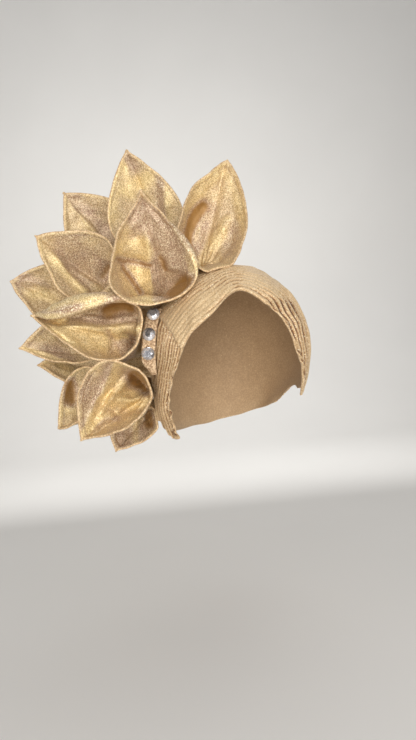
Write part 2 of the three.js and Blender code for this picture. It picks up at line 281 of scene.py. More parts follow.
@dataclass(frozen=True)
class HeadForm:
    """The rounded form of a head with the cap on it, which cap, strip and petals follow."""

    half_width: float = 79
    half_depth: float = 96
    rise_above: float = 84
    drop_below: float = 240

    def sizes(self, points: Array) -> Array:
        """Half sizes of the form, which differ above and below the origin.

        Args:
            points: Points near the form.

        Returns:
            Half width, depth and height for each point.
        """
        rise = np.where(points[..., 2] >= 0, self.rise_above, self.drop_below)
        wide, deep = (np.full_like(rise, half) for half in (self.half_width, self.half_depth))
        return np.stack([wide, deep, rise], axis=-1)

    def hit(self, start: Array, toward: Array) -> Array:
        """Where lines from a point inside leave the form.

        Args:
            start: A point inside the form.
            toward: Directions of the lines.

        Returns:
            One point of the form for each direction.
        """
        hits = []
        for rise in (self.rise_above, self.drop_below):
            size = np.array([self.half_width, self.half_depth, rise], dtype=float)
            begin, step = start / size, toward / size
            square = (step * step).sum(-1)
            cross = (begin * step).sum(-1)
            rest = (begin * begin).sum(-1) - 1
            reach = (np.sqrt(cross * cross - square * rest) - cross) / square
            hits.append(start + toward * reach[..., None])
        return np.where(hits[0][..., 2:] >= 0, hits[0], hits[1])

    def normal(self, points: Array) -> Array:
        """Outward directions of the form at points on it."""
        return unit(points / self.sizes(points) ** 2)

    def clear(self, points: Array, clearance: float) -> Array:
        """Moves points that lie too deep out of the form.

        Args:
            points: Points of a piece that lies on the form.
            clearance: How far above the form it stays.

        Returns:
            The points, of which only those that lay too deep have moved.
        """
        share = np.linalg.norm(points / self.sizes(points), axis=-1)
        closest = 1 + clearance / self.half_width
        return points * np.maximum(closest / share, 1)[..., None]


class MeshBook:
    """Corners, faces, cloth coordinates and tones of one piece, gathered before they are written."""

    def __init__(self) -> None:
        """Starts an empty book."""
        self.points: list[Array] = []
        self.tones: list[Array] = []
        self.faces: list[list[int]] = []
        self.cloth: list[Array] = []
        self.finishes: list[int] = []
        self.count = 0

    def corners(self, points: Array, tones: Array | float = 0.0) -> Array:
        """Adds corners.

        Args:
            points: Their places, in any grid shape.
            tones: How far the cloth shows its gold side at each, as its finish reads it; partly the cloth's
                two tones, partly painted light and shade.

        Returns:
            Their indices, in the same grid shape.
        """
        flat = points.reshape(-1, 3)
        index = self.count + np.arange(len(flat)).reshape(points.shape[:-1])
        self.points.append(flat)
        self.tones.append(np.broadcast_to(tones, points.shape[:-1]).reshape(-1))
        self.count += len(flat)
        return index

    def grid(self, index: Array, cloth: Array, flip: bool, finish: int = 0) -> None:
        """Adds quads over a grid of corners.

        Args:
            index: Corner indices, rows by columns. A closed ring repeats its first column.
            cloth: Cloth coordinates in metres for the same grid.
            flip: Whether the faces look along columns x rows instead of rows x columns.
            finish: Which of the piece's finishes they take.
        """
        order = [(0, 0), (0, 1), (1, 1), (1, 0)] if flip else [(0, 0), (1, 0), (1, 1), (0, 1)]
        rows, columns = index.shape
        corner = [np.s_[r:rows - 1 + r, c:columns - 1 + c] for r, c in order]
        self.faces += np.stack([index[part] for part in corner], axis=-1).reshape(-1, 4).tolist()
        self.cloth.append(np.stack([cloth[part] for part in corner], axis=-2).reshape(-1, 2))
        self.finishes += [finish] * ((rows - 1) * (columns - 1))

    def triangles(self, faces: list[list[int]]) -> None:
        """Adds triangles, whose cloth coordinates stay at the origin.

        Args:
            faces: Three corner indices for each.
        """
        self.faces += faces
        self.cloth.append(np.zeros((3 * len(faces), 2)))
        self.finishes += [0] * len(faces)

    def fan(self, middle: Array, tone: float, ring: Array, flip: bool) -> None:
        """Closes a ring of corners with triangles round its middle.

        Args:
            middle: The place of the middle.
            tone: The cloth's tone there.
            ring: Corner indices round it.
            flip: Whether the faces look the other way.
        """
        centre = int(self.corners(middle[None], tone)[0])
        pairs = pairwise([*ring.tolist(), int(ring[0])])
        self.triangles([[centre, b, a] if flip else [centre, a, b] for a, b in pairs])

    def bridge(self, row_a: Array, places_a: Array, row_b: Array, places_b: Array) -> None:
        """Closes the gap between two rows of corners that run side by side with other spacing.

        Args:
            row_a: Corner indices of the first row.
            places_a: How far along each one lies, 0 to 1.
            row_b: Corner indices of the second row.
            places_b: How far along each one lies.
        """
        faces = []
        a = b = 0
        while a < len(row_a) - 1 or b < len(row_b) - 1:
            step_a = places_a[a + 1] if a < len(row_a) - 1 else math.inf
            step_b = places_b[b + 1] if b < len(row_b) - 1 else math.inf
            if step_a <= step_b:
                faces.append([int(row_a[a]), int(row_a[a + 1]), int(row_b[b])])
                a += 1
            else:
                faces.append([int(row_a[a]), int(row_b[b + 1]), int(row_b[b])])
                b += 1
        self.triangles(faces)

    def write(self, name: str, *materials: bpy.types.Material, smooth: bool = True) -> bpy.types.Object:
        """Writes the piece as an object of the scene, in metres.

        Args:
            name: The piece's name.
            materials: Its finishes.
            smooth: Whether its faces are shaded as one smooth surface.

        Returns:
            The new object.
        """
        mesh = bpy.data.meshes.new(name)
        mesh.from_pydata((np.vstack(self.points) * MM).tolist(), [], self.faces)
        tone = mesh.attributes.new("tone", "FLOAT", "POINT")
        tone.data.foreach_set("value", np.concatenate(self.tones).astype(np.float32))
        layer = mesh.uv_layers.new(name="cloth")
        layer.data.foreach_set("uv", np.vstack(self.cloth).astype(np.float32).ravel())
        mesh.polygons.foreach_set("use_smooth", [smooth] * len(mesh.polygons))
        for material in materials:
            mesh.materials.append(material)
        mesh.polygons.foreach_set("material_index", self.finishes)
        mesh.update()
        return add_to_scene(name, mesh)


class Shader:
    """Wires the nodes of one material."""

    MIX_INPUTS = (6, 7)
    MIX_OUTPUT = 2

    def __init__(self, name: str) -> None:
        """Starts a material with one principled shader.

        Args:
            name: The material's name.
        """
        self.material = bpy.data.materials.new(name)
        self.material.use_nodes = True
        self.tree = self.material.node_tree
        self.tree.nodes.clear()
        self.surface = self.node("ShaderNodeBsdfPrincipled")
        output = self.node("ShaderNodeOutputMaterial")
        self.link(self.surface.outputs["BSDF"], output.inputs["Surface"])
        self.coordinates = self.node("ShaderNodeTexCoord")

    def node(self, kind: str, **settings: object) -> bpy.types.Node:
        """Adds a node.

        Args:
            kind: Blender's name of the node.
            settings: Its own settings.

        Returns:
            The node.
        """
        made = self.tree.nodes.new(kind)
        for key, value in settings.items():
            setattr(made, key, value)
        return made

    def link(self, source: bpy.types.NodeSocket, target: bpy.types.NodeSocket) -> None:
        """Joins two sockets."""
        self.tree.links.new(source, target)

    def feed(self, target: bpy.types.NodeSocket, value: object) -> None:
        """Gives a socket a link or a plain value.

        Args:
            target: The socket.
            value: Another socket to link, or a value.
        """
        if isinstance(value, bpy.types.NodeSocket):
            self.link(value, target)
        else:
            target.default_value = value

    def give(self, name: str, value: object) -> None:
        """Gives an input of the principled shader a link or a plain value."""
        self.feed(self.surface.inputs[name], value)

    def math(
        self, operation: str, first: object, second: object = 0.0, clamp: bool = False,
    ) -> bpy.types.NodeSocket:
        """The result of one sum.

        Args:
            operation: Blender's name of the sum.
            first: First value or socket.
            second: Second value or socket.
            clamp: Whether the result is held between 0 and 1.

        Returns:
            The result's socket.
        """
        made = self.node("ShaderNodeMath", operation=operation, use_clamp=clamp)
        self.feed(made.inputs[0], first)
        self.feed(made.inputs[1], second)
        return made.outputs[0]

    def span(self, value: object, low: float, high: float, start: float, end: float) -> bpy.types.NodeSocket:
        """A value carried from one span to another, and held there.

        Args:
            value: The value or socket.
            low: Start of the span that it comes from.
            high: End of that span.
            start: What low becomes.
            end: What high becomes.

        Returns:
            The result's socket.
        """
        made = self.node("ShaderNodeMapRange")
        for socket, item in zip(made.inputs, (value, low, high, start, end)):
            self.feed(socket, item)
        return made.outputs[0]

    def mix(
        self, share: object, first: object, second: object, blend: Blend = Blend.OVER,
    ) -> bpy.types.NodeSocket:
        """One colour laid on another.

        Args:
            share: How far the second one covers the first, 0 to 1.
            first: The colour underneath.
            second: The colour on top.
            blend: How it is laid on.

        Returns:
            The result's socket.
        """
        made = self.node("ShaderNodeMix", data_type="RGBA", blend_type=blend.value)
        self.feed(made.inputs["Factor"], share)
        for socket, colour in zip(self.MIX_INPUTS, (first, second)):
            self.feed(made.inputs[socket], colour)
        return made.outputs[self.MIX_OUTPUT]

    def noise(self, scale: float, detail: float) -> bpy.types.NodeSocket:
        """Cloudy noise on the object's own coordinates.

        Args:
            scale: Clouds in a metre.
            detail: How many finer sizes of cloud are added.

        Returns:
            The result's socket.
        """
        made = self.node("ShaderNodeTexNoise")
        made.inputs["Scale"].default_value = scale
        made.inputs["Detail"].default_value = detail
        self.link(self.coordinates.outputs["Object"], made.inputs["Vector"])
        return made.outputs[0]

    def vector(self, operation: str, first: object, second: object) -> bpy.types.NodeSocket:
        """The result of one sum of vectors.

        Args:
            operation: Blender's name of the sum.
            first: First vector or socket.
            second: Second vector or socket.

        Returns:
            The result's socket.
        """
        made = self.node("ShaderNodeVectorMath", operation=operation)
        self.feed(made.inputs[0], first)
        self.feed(made.inputs[1], second)
        return made.outputs[0]

    def chances(self, places: bpy.types.NodeSocket) -> bpy.types.NodeSocket:
        """A chance colour for each whole step of some coordinates.

        Args:
            places: The coordinates.

        Returns:
            The colour's socket.
        """
        made = self.node("ShaderNodeTexWhiteNoise", noise_dimensions="3D")
        self.link(self.vector("FLOOR", places, (0.0, 0.0, 0.0)), made.inputs["Vector"])
        return made.outputs["Color"]


@dataclass(frozen=True)
class MetalThreadCloth:
    """Slubby weave of gold metal threads over a duller ground, which glints thread by thread.

    weave holds the size of one crossing in millimetres, along and across the cloth. on_cloth says
    whether the weave follows the cloth's own coordinates or, for thread, the object's space.
    The cloth's tone says whether it shows the gold, the ground or the painted shade of a fold's
    depth; gold and ground are partly the cloth's two tones and partly painted light and shade.
    Slubs are the bright thick stretches of thread, lightened toward the glint colour as painted
    sheen, and dullness is how far shade covers the stretches between. Glints are crossings tilted
    their own way that also take the glint colour as painted highlights. The ranges are those of the
    noise that clouds and slubs are drawn from.
    """

    name: str
    gold: Colour
    ground: Colour
    hollow_shade: Colour
    glint: Colour
    shade: Colour
    metallic: float = 0.25
    roughness: float = 0.45
    weave: Point = (0.8, 1.1, 1.0)
    slub: float = 0.45
    slub_scale: float = 620
    dullness: float = 0.5
    glint_share: float = 0.1
    tilt: float = 0.3
    sheen: float = 0.1
    cloud: float = 0.22
    cloud_scale: float = 55
    cloud_range: Pair = (0.3, 0.7)
    slub_range: Pair = (0.42, 0.62)
    hollow_light: float = 0.1
    gold_glints: float = 0.4
    roughness_range: Pair = (-0.12, 0.14)
    relief: float = 0.6
    relief_depth: float = 0.1
    on_cloth: bool = True

    def make(self) -> bpy.types.Material:
        """Makes the material.

        Returns:
            The material.
        """
        shader = Shader(self.name)
        source = shader.coordinates.outputs["UV" if self.on_cloth else "Object"]
        crossings = shader.vector("DIVIDE", source, tuple(size * MM for size in self.weave))
        chance_colour = shader.chances(crossings)
        chance = shader.node("ShaderNodeSeparateColor")
        shader.link(chance_colour, chance.inputs[0])
        tone = shader.node("ShaderNodeAttribute", attribute_name="tone").outputs["Fac"]
        cloud = shader.noise(self.cloud_scale, 4)
        cloud = shader.span(cloud, *self.cloud_range, 0.5 - self.cloud, 0.5 + self.cloud)
        # The gold share mixes the cloth's two tones; the tone attribute behind it also paints light and
        # shade.
        gold_share = shader.math("ADD", shader.math("MULTIPLY", tone, 0.5), cloud, clamp=True)
        colour = shader.mix(gold_share, self.ground, self.gold)
        slubs = shader.span(shader.noise(self.slub_scale, 2), *self.slub_range, 0, 1)
        colour = shader.mix(shader.span(slubs, 0, 1, self.dullness, 0), colour, self.shade, Blend.DIM)
        colour = shader.mix(shader.span(slubs, 0, 1, 0, self.slub), colour, self.glint)
        # Tones below the ground fade the colour toward the painted shade colour of hollows, in the depths of
        # folds and the grooves of pleats.
        open_share = shader.span(tone, HOLLOW_SHADE_TONE, GROUND_TONE, self.hollow_light, 1)
        # Painted glints: chance crossings take the glint colour in the base colour, fewer where the gold
        # shows.
        glints = shader.span(chance.outputs[0], 1 - self.glint_share, 1, 0, 1)
        glints = shader.math("MULTIPLY", glints, shader.span(gold_share, 0, 1, 1, self.gold_glints))
        colour = shader.mix(glints, colour, self.glint)
        colour = shader.mix(open_share, self.hollow_shade, colour)
        shader.give("Base Color", colour)
        low, high = (self.roughness + away for away in self.roughness_range)
        rough = shader.span(chance.outputs[2], 0, 1, low, high)
        shader.give("Roughness", rough)
        shader.give("Metallic", self.metallic)
        shader.give("Sheen Weight", self.sheen)
        shader.give("Normal", self.normal(shader, crossings, chance_colour))
        return shader.material

    def normal(
        self, shader: Shader, crossings: bpy.types.NodeSocket, chance_colour: bpy.types.NodeSocket,
    ) -> bpy.types.NodeSocket:
        """Surface directions: the weave's relief, with each glint tilted its own way.

        Args:
            shader: The material's wiring.
            crossings: Coordinates that grow by one for each crossing of the threads.
            chance_colour: The chance colour of each crossing.

        Returns:
            The socket of the directions.
        """
        split = shader.node("ShaderNodeSeparateXYZ")
        shader.link(crossings, split.inputs[0])
        angles = [shader.math("MULTIPLY", split.outputs[axis], math.pi) for axis in range(2)]
        waves = [shader.math("SINE", angle) for angle in angles]
        relief = shader.node("ShaderNodeBump")
        relief.inputs["Strength"].default_value = self.relief
        relief.inputs["Distance"].default_value = self.relief_depth * MM
        shader.link(shader.math("ABSOLUTE", shader.math("MULTIPLY", *waves)), relief.inputs["Height"])
        lean = shader.vector("SUBTRACT", chance_colour, (0.5, 0.5, 0.5))
        lean = shader.vector("MULTIPLY", lean, (self.tilt, self.tilt, self.tilt))
        tilted = shader.vector("ADD", lean, relief.outputs[0])
        return shader.vector("NORMALIZE", tilted, (0.0, 0.0, 0.0))


@dataclass(frozen=True)
class CutGlass:
    """Silver-backed cut glass, each facet of which carries a painted reflection, brighter or darker by its
    tone.
    """

    name: str = "clear_cut_glass"
    bright: Colour = (0.95, 0.96, 1.0, 1.0)
    dark: Colour = (0.03, 0.03, 0.04, 1.0)
    metallic: float = 0.5
    refraction: float = 1.6
    coat: float = 0.6
    cloud: float = 0.15
    cloud_scale: float = 900
    cloud_range: Pair = (0.3, 0.7)
    smear_scale: float = 400
    smear_range: Pair = (0.35, 0.75)
    roughness: Pair = (0.02, 0.1)

    def make(self) -> bpy.types.Material:
        """Makes the material.

        Returns:
            The material.
        """
        shader = Shader(self.name)
        tone = shader.node("ShaderNodeAttribute", attribute_name="tone").outputs["Fac"]
        cloud = shader.span(shader.noise(self.cloud_scale, 2), *self.cloud_range, -self.cloud, self.cloud)
        share = shader.math("ADD", tone, cloud, clamp=True)
        shader.give("Base Color", shader.mix(share, self.dark, self.bright))
        rough = shader.span(shader.noise(self.smear_scale, 2), *self.smear_range, *self.roughness)
        shader.give("Roughness", rough)
        shader.give("Metallic", self.metallic)
        shader.give("IOR", self.refraction)
        shader.give("Coat Weight", self.coat)
        return shader.material


@dataclass(frozen=True)
class SilverFoil:
    """Bright silver foil at the back of a stone."""

    name: str = "silver_foil"
    colour: Colour = (0.86, 0.87, 0.89, 1.0)
    dull: Colour = (0.5, 0.51, 0.53, 1.0)
    cloud_scale: float = 700
    cloud_range: Pair = (0.4, 0.7)
    roughness: Pair = (0.12, 0.35)

    def make(self) -> bpy.types.Material:
        """Makes the material.

        Returns:
            The material.
        """
        shader = Shader(self.name)
        cloud = shader.span(shader.noise(self.cloud_scale, 3), *self.cloud_range, 0, 1)
        shader.give("Base Color", shader.mix(cloud, self.colour, self.dull))
        shader.give("Roughness", shader.span(cloud, 0, 1, *self.roughness))
        shader.give("Metallic", 1.0)
        return shader.material


PETAL_CLOTH = MetalThreadCloth(
    name="petal_metal_thread_cloth",
    gold=paint(253, 226, 160), ground=paint(190, 156, 130), hollow_shade=paint(158, 116, 54),
    glint=paint(255, 242, 206), shade=paint(178, 162, 150), slub=0.3, slub_scale=880, dullness=0.7,
    glint_share=0.2, weave=(0.7, 0.9, 1.0), sheen=0.03,
)
PLEAT_CLOTH = MetalThreadCloth(
    name="pleated_metal_thread_cloth",
    gold=paint(234, 203, 156), ground=paint(158, 112, 62), hollow_shade=paint(90, 50, 16),
    glint=paint(255, 240, 206), shade=paint(190, 176, 160), slub=0.2, slub_scale=880, dullness=0.45,
    glint_share=0.14, weave=(0.7, 0.9, 1.0), tilt=0.18, metallic=0.2, cloud=0.06,
)
LINING_CLOTH = MetalThreadCloth(
    name="plain_lining_cloth",
    gold=paint(196, 166, 128), ground=paint(176, 146, 110), hollow_shade=paint(150, 120, 88),
    glint=paint(206, 178, 140), shade=paint(220, 216, 210),
    tilt=0.05, metallic=0.0, roughness=0.7, glint_share=0.02, slub=0.1, dullness=0.5,
)
STRIP_CLOTH = MetalThreadCloth(
    name="strip_cloth",
    gold=paint(212, 178, 136), ground=paint(180, 144, 106), hollow_shade=paint(140, 100, 62),
    glint=paint(244, 222, 184), shade=paint(176, 160, 148),
    tilt=0.2, metallic=0.2, cloud=0.2, dullness=0.8,
)
HEM_THREAD = MetalThreadCloth(
    name="hem_thread",
    gold=paint(232, 198, 148), ground=paint(204, 168, 124), hollow_shade=paint(150, 110, 68),
    glint=paint(250, 230, 192), shade=paint(190, 176, 164),
    tilt=0.2, on_cloth=False,
)


@dataclass(frozen=True)
class Fold:
    """A fold of the cloth along a line of the photograph.

    The two sides are those of someone who walks along the line. lift is how far the line comes
    toward the camera, right and left are how far the slopes reach in pixels, and gold is how far
    each slope shows the cloth's gold side, over reach pixels: partly the cloth's two tones and partly
    painted light and shade on the slope. Its shade in hollows is how far the line lies in the painted
    shade of the cup's depth, over the same reach.
    """

    line: tuple[Pixel, ...]
    lift: float
    right: float
    left: float
    gold: Pair = (0.0, 0.0)
    reach: float = 12
    hollow_shade: float = 0
    roundness: float = 1.4
    core: float = 0.3

    def measure(self, pixels: Array) -> tuple[Array, Array]:
        """How far pixels lie from the line, and on which side.

        Args:
            pixels: Places in the photograph's frame.

        Returns:
            Distances, and 1 for the right side or -1 for the left.
        """
        nearest = np.full(pixels.shape[:-1], np.inf)
        side = np.ones_like(nearest)
        for start, end in pairwise(np.array(self.line, dtype=float)):
            step = end - start
            share = np.clip((pixels - start) @ step / (step @ step), 0, 1)
            away = pixels - start - share[..., None] * step
            distance = np.linalg.norm(away, axis=-1)
            cross = step[0] * away[..., 1] - step[1] * away[..., 0]
            closer = distance < nearest
            nearest = np.where(closer, distance, nearest)
            side = np.where(closer, np.where(cross >= 0, 1, -1), side)
        return nearest, side

    def shape(self, pixels: Array) -> tuple[Array, Array, Array]:
        """What the fold gives at pixels.

        Args:
            pixels: Places in the photograph's frame.

        Returns:
            The lift, the tone and the painted shade of the cup's depth at each.
        """
        distance, side = self.measure(pixels)
        width = np.where(side > 0, self.right, self.left)
        lift = self.lift * np.clip(1 - distance / width, 0, 1) ** self.roundness
        near = 1 - ease(distance, self.core * self.reach, self.reach)
        return lift, np.where(side > 0, *self.gold) * near, self.hollow_shade * near


# Each fold's gold values paint light and shade on its slopes besides the cloth's two tones, and its shade in
# hollows paints the shade of the cup's depth.
FOLDS: dict[str, tuple[Fold, ...]] = {
    "top_right": (
        Fold(((203, 206), (195, 218), (188, 232), (186, 246), (190, 256)), -5, 12, 12, (0, 0), 9, 1),
        Fold(((228, 222), (214, 242), (203, 262)), 5, 10, 10, (0.6, 0.6), 9),
        Fold(((213, 206), (203, 234), (196, 252)), 1, 6, 6, (-0.7, -0.7), 8),
        Fold(((232, 226), (234, 240), (227, 252)), -4, 10, 10, (-0.7, -0.7), 10),
        Fold(((231, 178), (240, 205), (245, 230)), 1, 8, 8, (0.7, 0.5), 9),
        Fold(((220, 174), (218, 185)), -2, 3, 4, (-0.3, 0.3), 4),
        Fold(((222, 168), (204, 184), (186, 206)), 1, 8, 8, (0.8, 0.8), 10),
    ),
    "top_centre": (
        Fold(((164, 178), (164, 195), (166, 214)), 5, 7, 14, (-1.0, 0.8), 11),
        Fold(((127, 166), (130, 178), (134, 192)), 2, 8, 8, (0.5, -0.2), 9),
        Fold(((122, 168), (113, 194), (109, 222)), 1, 9, 9, (0.6, 0.6), 10),
        Fold(((128, 156), (138, 170)), -1, 9, 9, (-0.6, -0.6), 10),
        Fold(((146, 178), (128, 190)), 1, 9, 9, (1.0, 1.0), 13),
    ),
    "front": (
        Fold(((141, 204), (148, 245), (151, 278)), 13, 30, 36),
        Fold(((148, 236), (150, 262), (153, 299)), 6, 13, 26, (1.0, -0.8), 34),
        Fold(((116, 259), (134, 262), (149, 265)), -3, 6, 8, (0, 0), 4, 1),
        Fold(((114, 251), (130, 249), (141, 251)), 2, 11, 13, (1.6, 1.6), 13),
        Fold(((131, 236), (146, 235)), -3, 5, 6, (0, 0), 6, 0.35),
        Fold(((170, 268), (180, 271), (191, 278)), 7, 2, 18, (-0.2, -0.3), 8),
        Fold(((188, 281), (181, 287), (174, 297)), -9, 11, 11, (0, 0), 11, 1),
        Fold(((160, 212), (172, 240), (178, 266)), 0, 1, 1, (-1.0, -1.0), 24),
        Fold(((135, 208), (139, 224)), 0, 1, 1, (-2.2, -2.2), 15),
        Fold(((132, 248), (147, 253)), 0, 1, 1, (0.8, 0.8), 11),
        Fold(((139, 274), (147, 290)), 0, 1, 1, (0.9, 0.9), 10),
        Fold(((161, 257), (166, 269)), -4, 4, 5, (0, 0), 4, 0.7),
        Fold(((123, 268), (132, 280), (141, 293)), -3, 6, 6, (0, 0), 5, 0.9),
        Fold(((189, 258), (193, 268), (192, 280)), 2, 5, 5, (0.9, 0.9), 6),
    ),
    "upper_left": (
        Fold(((66, 196), (74, 209), (82, 217), (89, 227), (99, 236), (109, 243)), 5, 20, 14, (0.2, -0.7), 22),
        Fold(((80, 214), (90, 227), (101, 237)), 1, 3, 3, (0.7, 0.7), 3),
    ),
    "middle_left": (
        Fold(((58, 258), (66, 268), (74, 277), (86, 291)), 6, 15, 2.5, (1.0, -0.7), 13),
        Fold(((70, 246), (92, 262), (100, 270)), 1, 14, 14, (-0.6, -0.6), 20),
        Fold(((86, 291), (96, 287)), 3, 3, 3, (0.4, 0.4), 4),
        Fold(((102, 277), (109, 266)), -9, 4, 4, (0, 0), 5, 0.9),
        Fold(((40, 240), (47, 262), (58, 284)), 1, 7, 7, (0.2, 0.2), 8),
    ),
    "far_left": (
        Fold(((17, 279), (30, 281), (43, 286)), 4, 8, 6, (-0.3, -0.8), 10),
        Fold(((28, 293), (42, 292), (54, 300)), 3, 6, 6, (0.8, 0.8), 8),
    ),
    "side": (
        Fold(((108, 310), (121, 305), (135, 306)), -3, 10, 10, (0, 0), 12, 1),
        Fold(((86, 317), (104, 319), (128, 317), (139, 315)), 7, 8, 4, (-0.6, -0.4), 7),
        Fold(((68, 326), (100, 328), (136, 326)), 17, 30, 8),
        Fold(((56, 331), (85, 337), (112, 337)), 2, 14, 12, (1.4, 1.4), 20),
        Fold(((70, 321), (104, 322), (139, 319)), 2, 4, 4, (-1.2, -1.2), 6),
        Fold(((114, 332), (136, 330)), 2, 5, 5, (0.9, 0.9), 6),
        Fold(((52, 304), (76, 300), (100, 297)), 1, 8, 8, (0.9, 0.7), 9),
        Fold(((92, 289), (104, 291)), 1, 6, 6, (-1.2, -1.2), 8),
        Fold(((66, 309), (80, 306)), -1, 5, 5, (-1.0, -1.0), 6),
        Fold(((130, 333), (134, 344)), -8, 6, 6, (0, 0), 5, 0.7),
        Fold(((122, 344), (127, 352)), 3, 8, 8, (-2.2, -2.2), 10),
        Fold(((36, 318), (52, 321), (66, 322)), -3, 4, 4, (-0.3, 0.3), 5),
        Fold(((108, 331), (114, 341), (112, 352)), -6, 4, 5, (0, 0), 4, 0.45),
    ),
    "lower_far": (
        Fold(((24, 347), (45, 352), (70, 362)), 4, 9, 12, (0.7, -0.6), 13),
        Fold(((42, 327), (52, 337), (66, 347)), 2, 3, 4, (0.3, 0.3), 4),
    ),
    "lower_back": (
        Fold(((44, 363), (60, 368), (76, 374)), 2, 5, 6, (0.3, 0.6), 7),
    ),
    "lower": (
        Fold(((112, 368), (103, 390), (84, 424)), 5, 6, 9, (-0.7, 0.9), 14),
        Fold(((124, 370), (112, 387), (92, 421)), -4, 4, 4, (-0.2, -0.4), 5),
        Fold(((131, 371), (119, 388), (100, 413)), 5, 5, 5, (0.7, 0.7), 6),
        Fold(((135, 378), (147, 386)), -7, 14, 14, (0, 0), 15, 1),
        Fold(((112, 399), (132, 400), (147, 396)), 12, 12, 8, (1.3, 1.3), 13),
        Fold(((86, 380), (88, 400)), 1, 9, 9, (-0.8, -0.8), 16),
        Fold(((94, 428), (104, 418), (118, 416)), 3, 8, 4, (-0.6, 0.5), 9),
        Fold(((104, 404), (114, 412), (120, 419)), -4, 4, 4, (-0.4, 0.3), 6),
    ),
    "bottom_back": (
        Fold(((69, 385), (71, 400)), -7, 9, 9, (0, 0), 11, 0.9),
        Fold(((61, 412), (75, 409)), 2, 7, 7, (0.6, 0.6), 8),
    ),
    "bottom": (
        Fold(((136, 416), (136, 428), (135, 441)), 4, 5, 6, (0.5, 0.5), 4),
        Fold(((149, 414), (150, 425)), -6, 6, 6, (0, 0), 8, 0.9),
        Fold(((120, 420), (124, 440)), 1, 10, 10, (-1.0, -1.0), 17),
        Fold(((145, 426), (144, 438)), 0, 1, 1, (-0.9, -0.9), 9),
    ),
    "cap": (
        Fold(((161, 318), (166, 322), (172, 333), (180, 347)), 1.7, 1.2, 16),
    ),
}


def soften(grid: Array, passes: int) -> Array:
    """Evens out a grid of values whose columns run round a closed ring.

    Args:
        grid: The values.
        passes: How often each is set to the mean of itself and its neighbours.

    Returns:
        The evened values.
    """
    for _ in range(passes):
        grid = (np.roll(grid, 1, axis=1) + grid + np.roll(grid, -1, axis=1)) / 3
        padded = np.vstack([grid[:1], grid, grid[-1:]])
        grid = (padded[:-2] + padded[1:-1] + padded[2:]) / 3
    return grid


def folded(piece: str, grid: Array, view: PhotoView, shown: Array) -> tuple[Array, Array]:
    """Adds up the folds of one piece.

    Args:
        piece: The name that its folds are kept under.
        grid: Points of its surface.
        view: The photograph's camera.
        shown: How far each point shows in the photograph, 0 to 1.

    Returns:
        The lift toward the camera and the tone for each point.
    """
    pixels = view.pixels(grid)
    lift, tone, hollow_shade = np.zeros((3, *grid.shape[:-1]))
    for fold in FOLDS[piece]:
        more_lift, more_tone, shade = fold.shape(pixels)
        lift += more_lift * shown
        tone += more_tone * shown
        hollow_shade = np.maximum(hollow_shade, shade * shown)
    # Painted shade: where a fold lies in the cup's depth, the tone is pulled below the ground, which the
    # finishes show in their painted shade colour.
    return lift, np.clip(tone, GROUND_TONE, GOLD_TONE) * (1 - hollow_shade) + HOLLOW_SHADE_TONE * hollow_shade


@dataclass(frozen=True)
class Pleats:
    """A run of pleats of one size, as shares of the way from the face edge to the nape."""

    count: int
    share: float
    depth: float


@dataclass(frozen=True)
class RibBlock:
    """A block of deep ribs that run side by side down the photograph, between two lines of it.

    fade is the height in pixels over which the ribs rise out of the smooth cloth above them, and
    facing is how far the cloth has to face the camera for them to begin and to be full.
    """

    first: tuple[Pixel, ...]
    last: tuple[Pixel, ...]
    count: int
    depth: float
    fade: float
    facing: Pair
    sharpness: float = 1.3
    margin: Pair = (0.04, 0.12)

    def shape(self, pixels: Array) -> tuple[Array, Array]:
        """How the ribs lie at pixels.

        Args:
            pixels: Places in the photograph's frame.

        Returns:
            How far each lies in the block, and how far down a groove, both 0 to 1.
        """
        rows = pixels[..., 1]
        lines = (np.array(line, dtype=float).T for line in (self.first, self.last))
        start, end = (np.interp(rows, down, across) for across, down in lines)
        share = (pixels[..., 0] - start) / (end - start)
        top = self.first[0][1]
        near, far = self.margin
        within = ease(rows, top, top + self.fade) * ease(share, -far, -near)
        within *= 1 - ease(share, 1 + near, 1 + far)
        return within, 1 - np.abs(np.cos(np.pi * self.count * share)) ** self.sharpness


RIBS = (
    RibBlock(
        first=((163, 316), (158, 328), (156, 345), (154, 362), (152, 380), (150, 403), (151, 420),
               (160, 438)),
        last=((188, 316), (179, 344), (177, 353), (175, 362), (172, 373), (171, 390), (169, 402),
              (170, 412), (174, 423), (180, 438)),
        count=8, depth=2.6, fade=4, facing=(0.05, 0.2),
    ),
    RibBlock(
        first=((262, 294), (268, 301), (275, 312), (285, 322), (291, 335), (295, 350), (299, 370),
               (301, 395)),
        last=((294, 294), (299, 301), (304, 312), (307, 322), (309, 335), (311, 350), (309, 372),
              (304, 395)),
        count=6, depth=1.9, fade=10, facing=(0.12, 0.32),
    ),
)


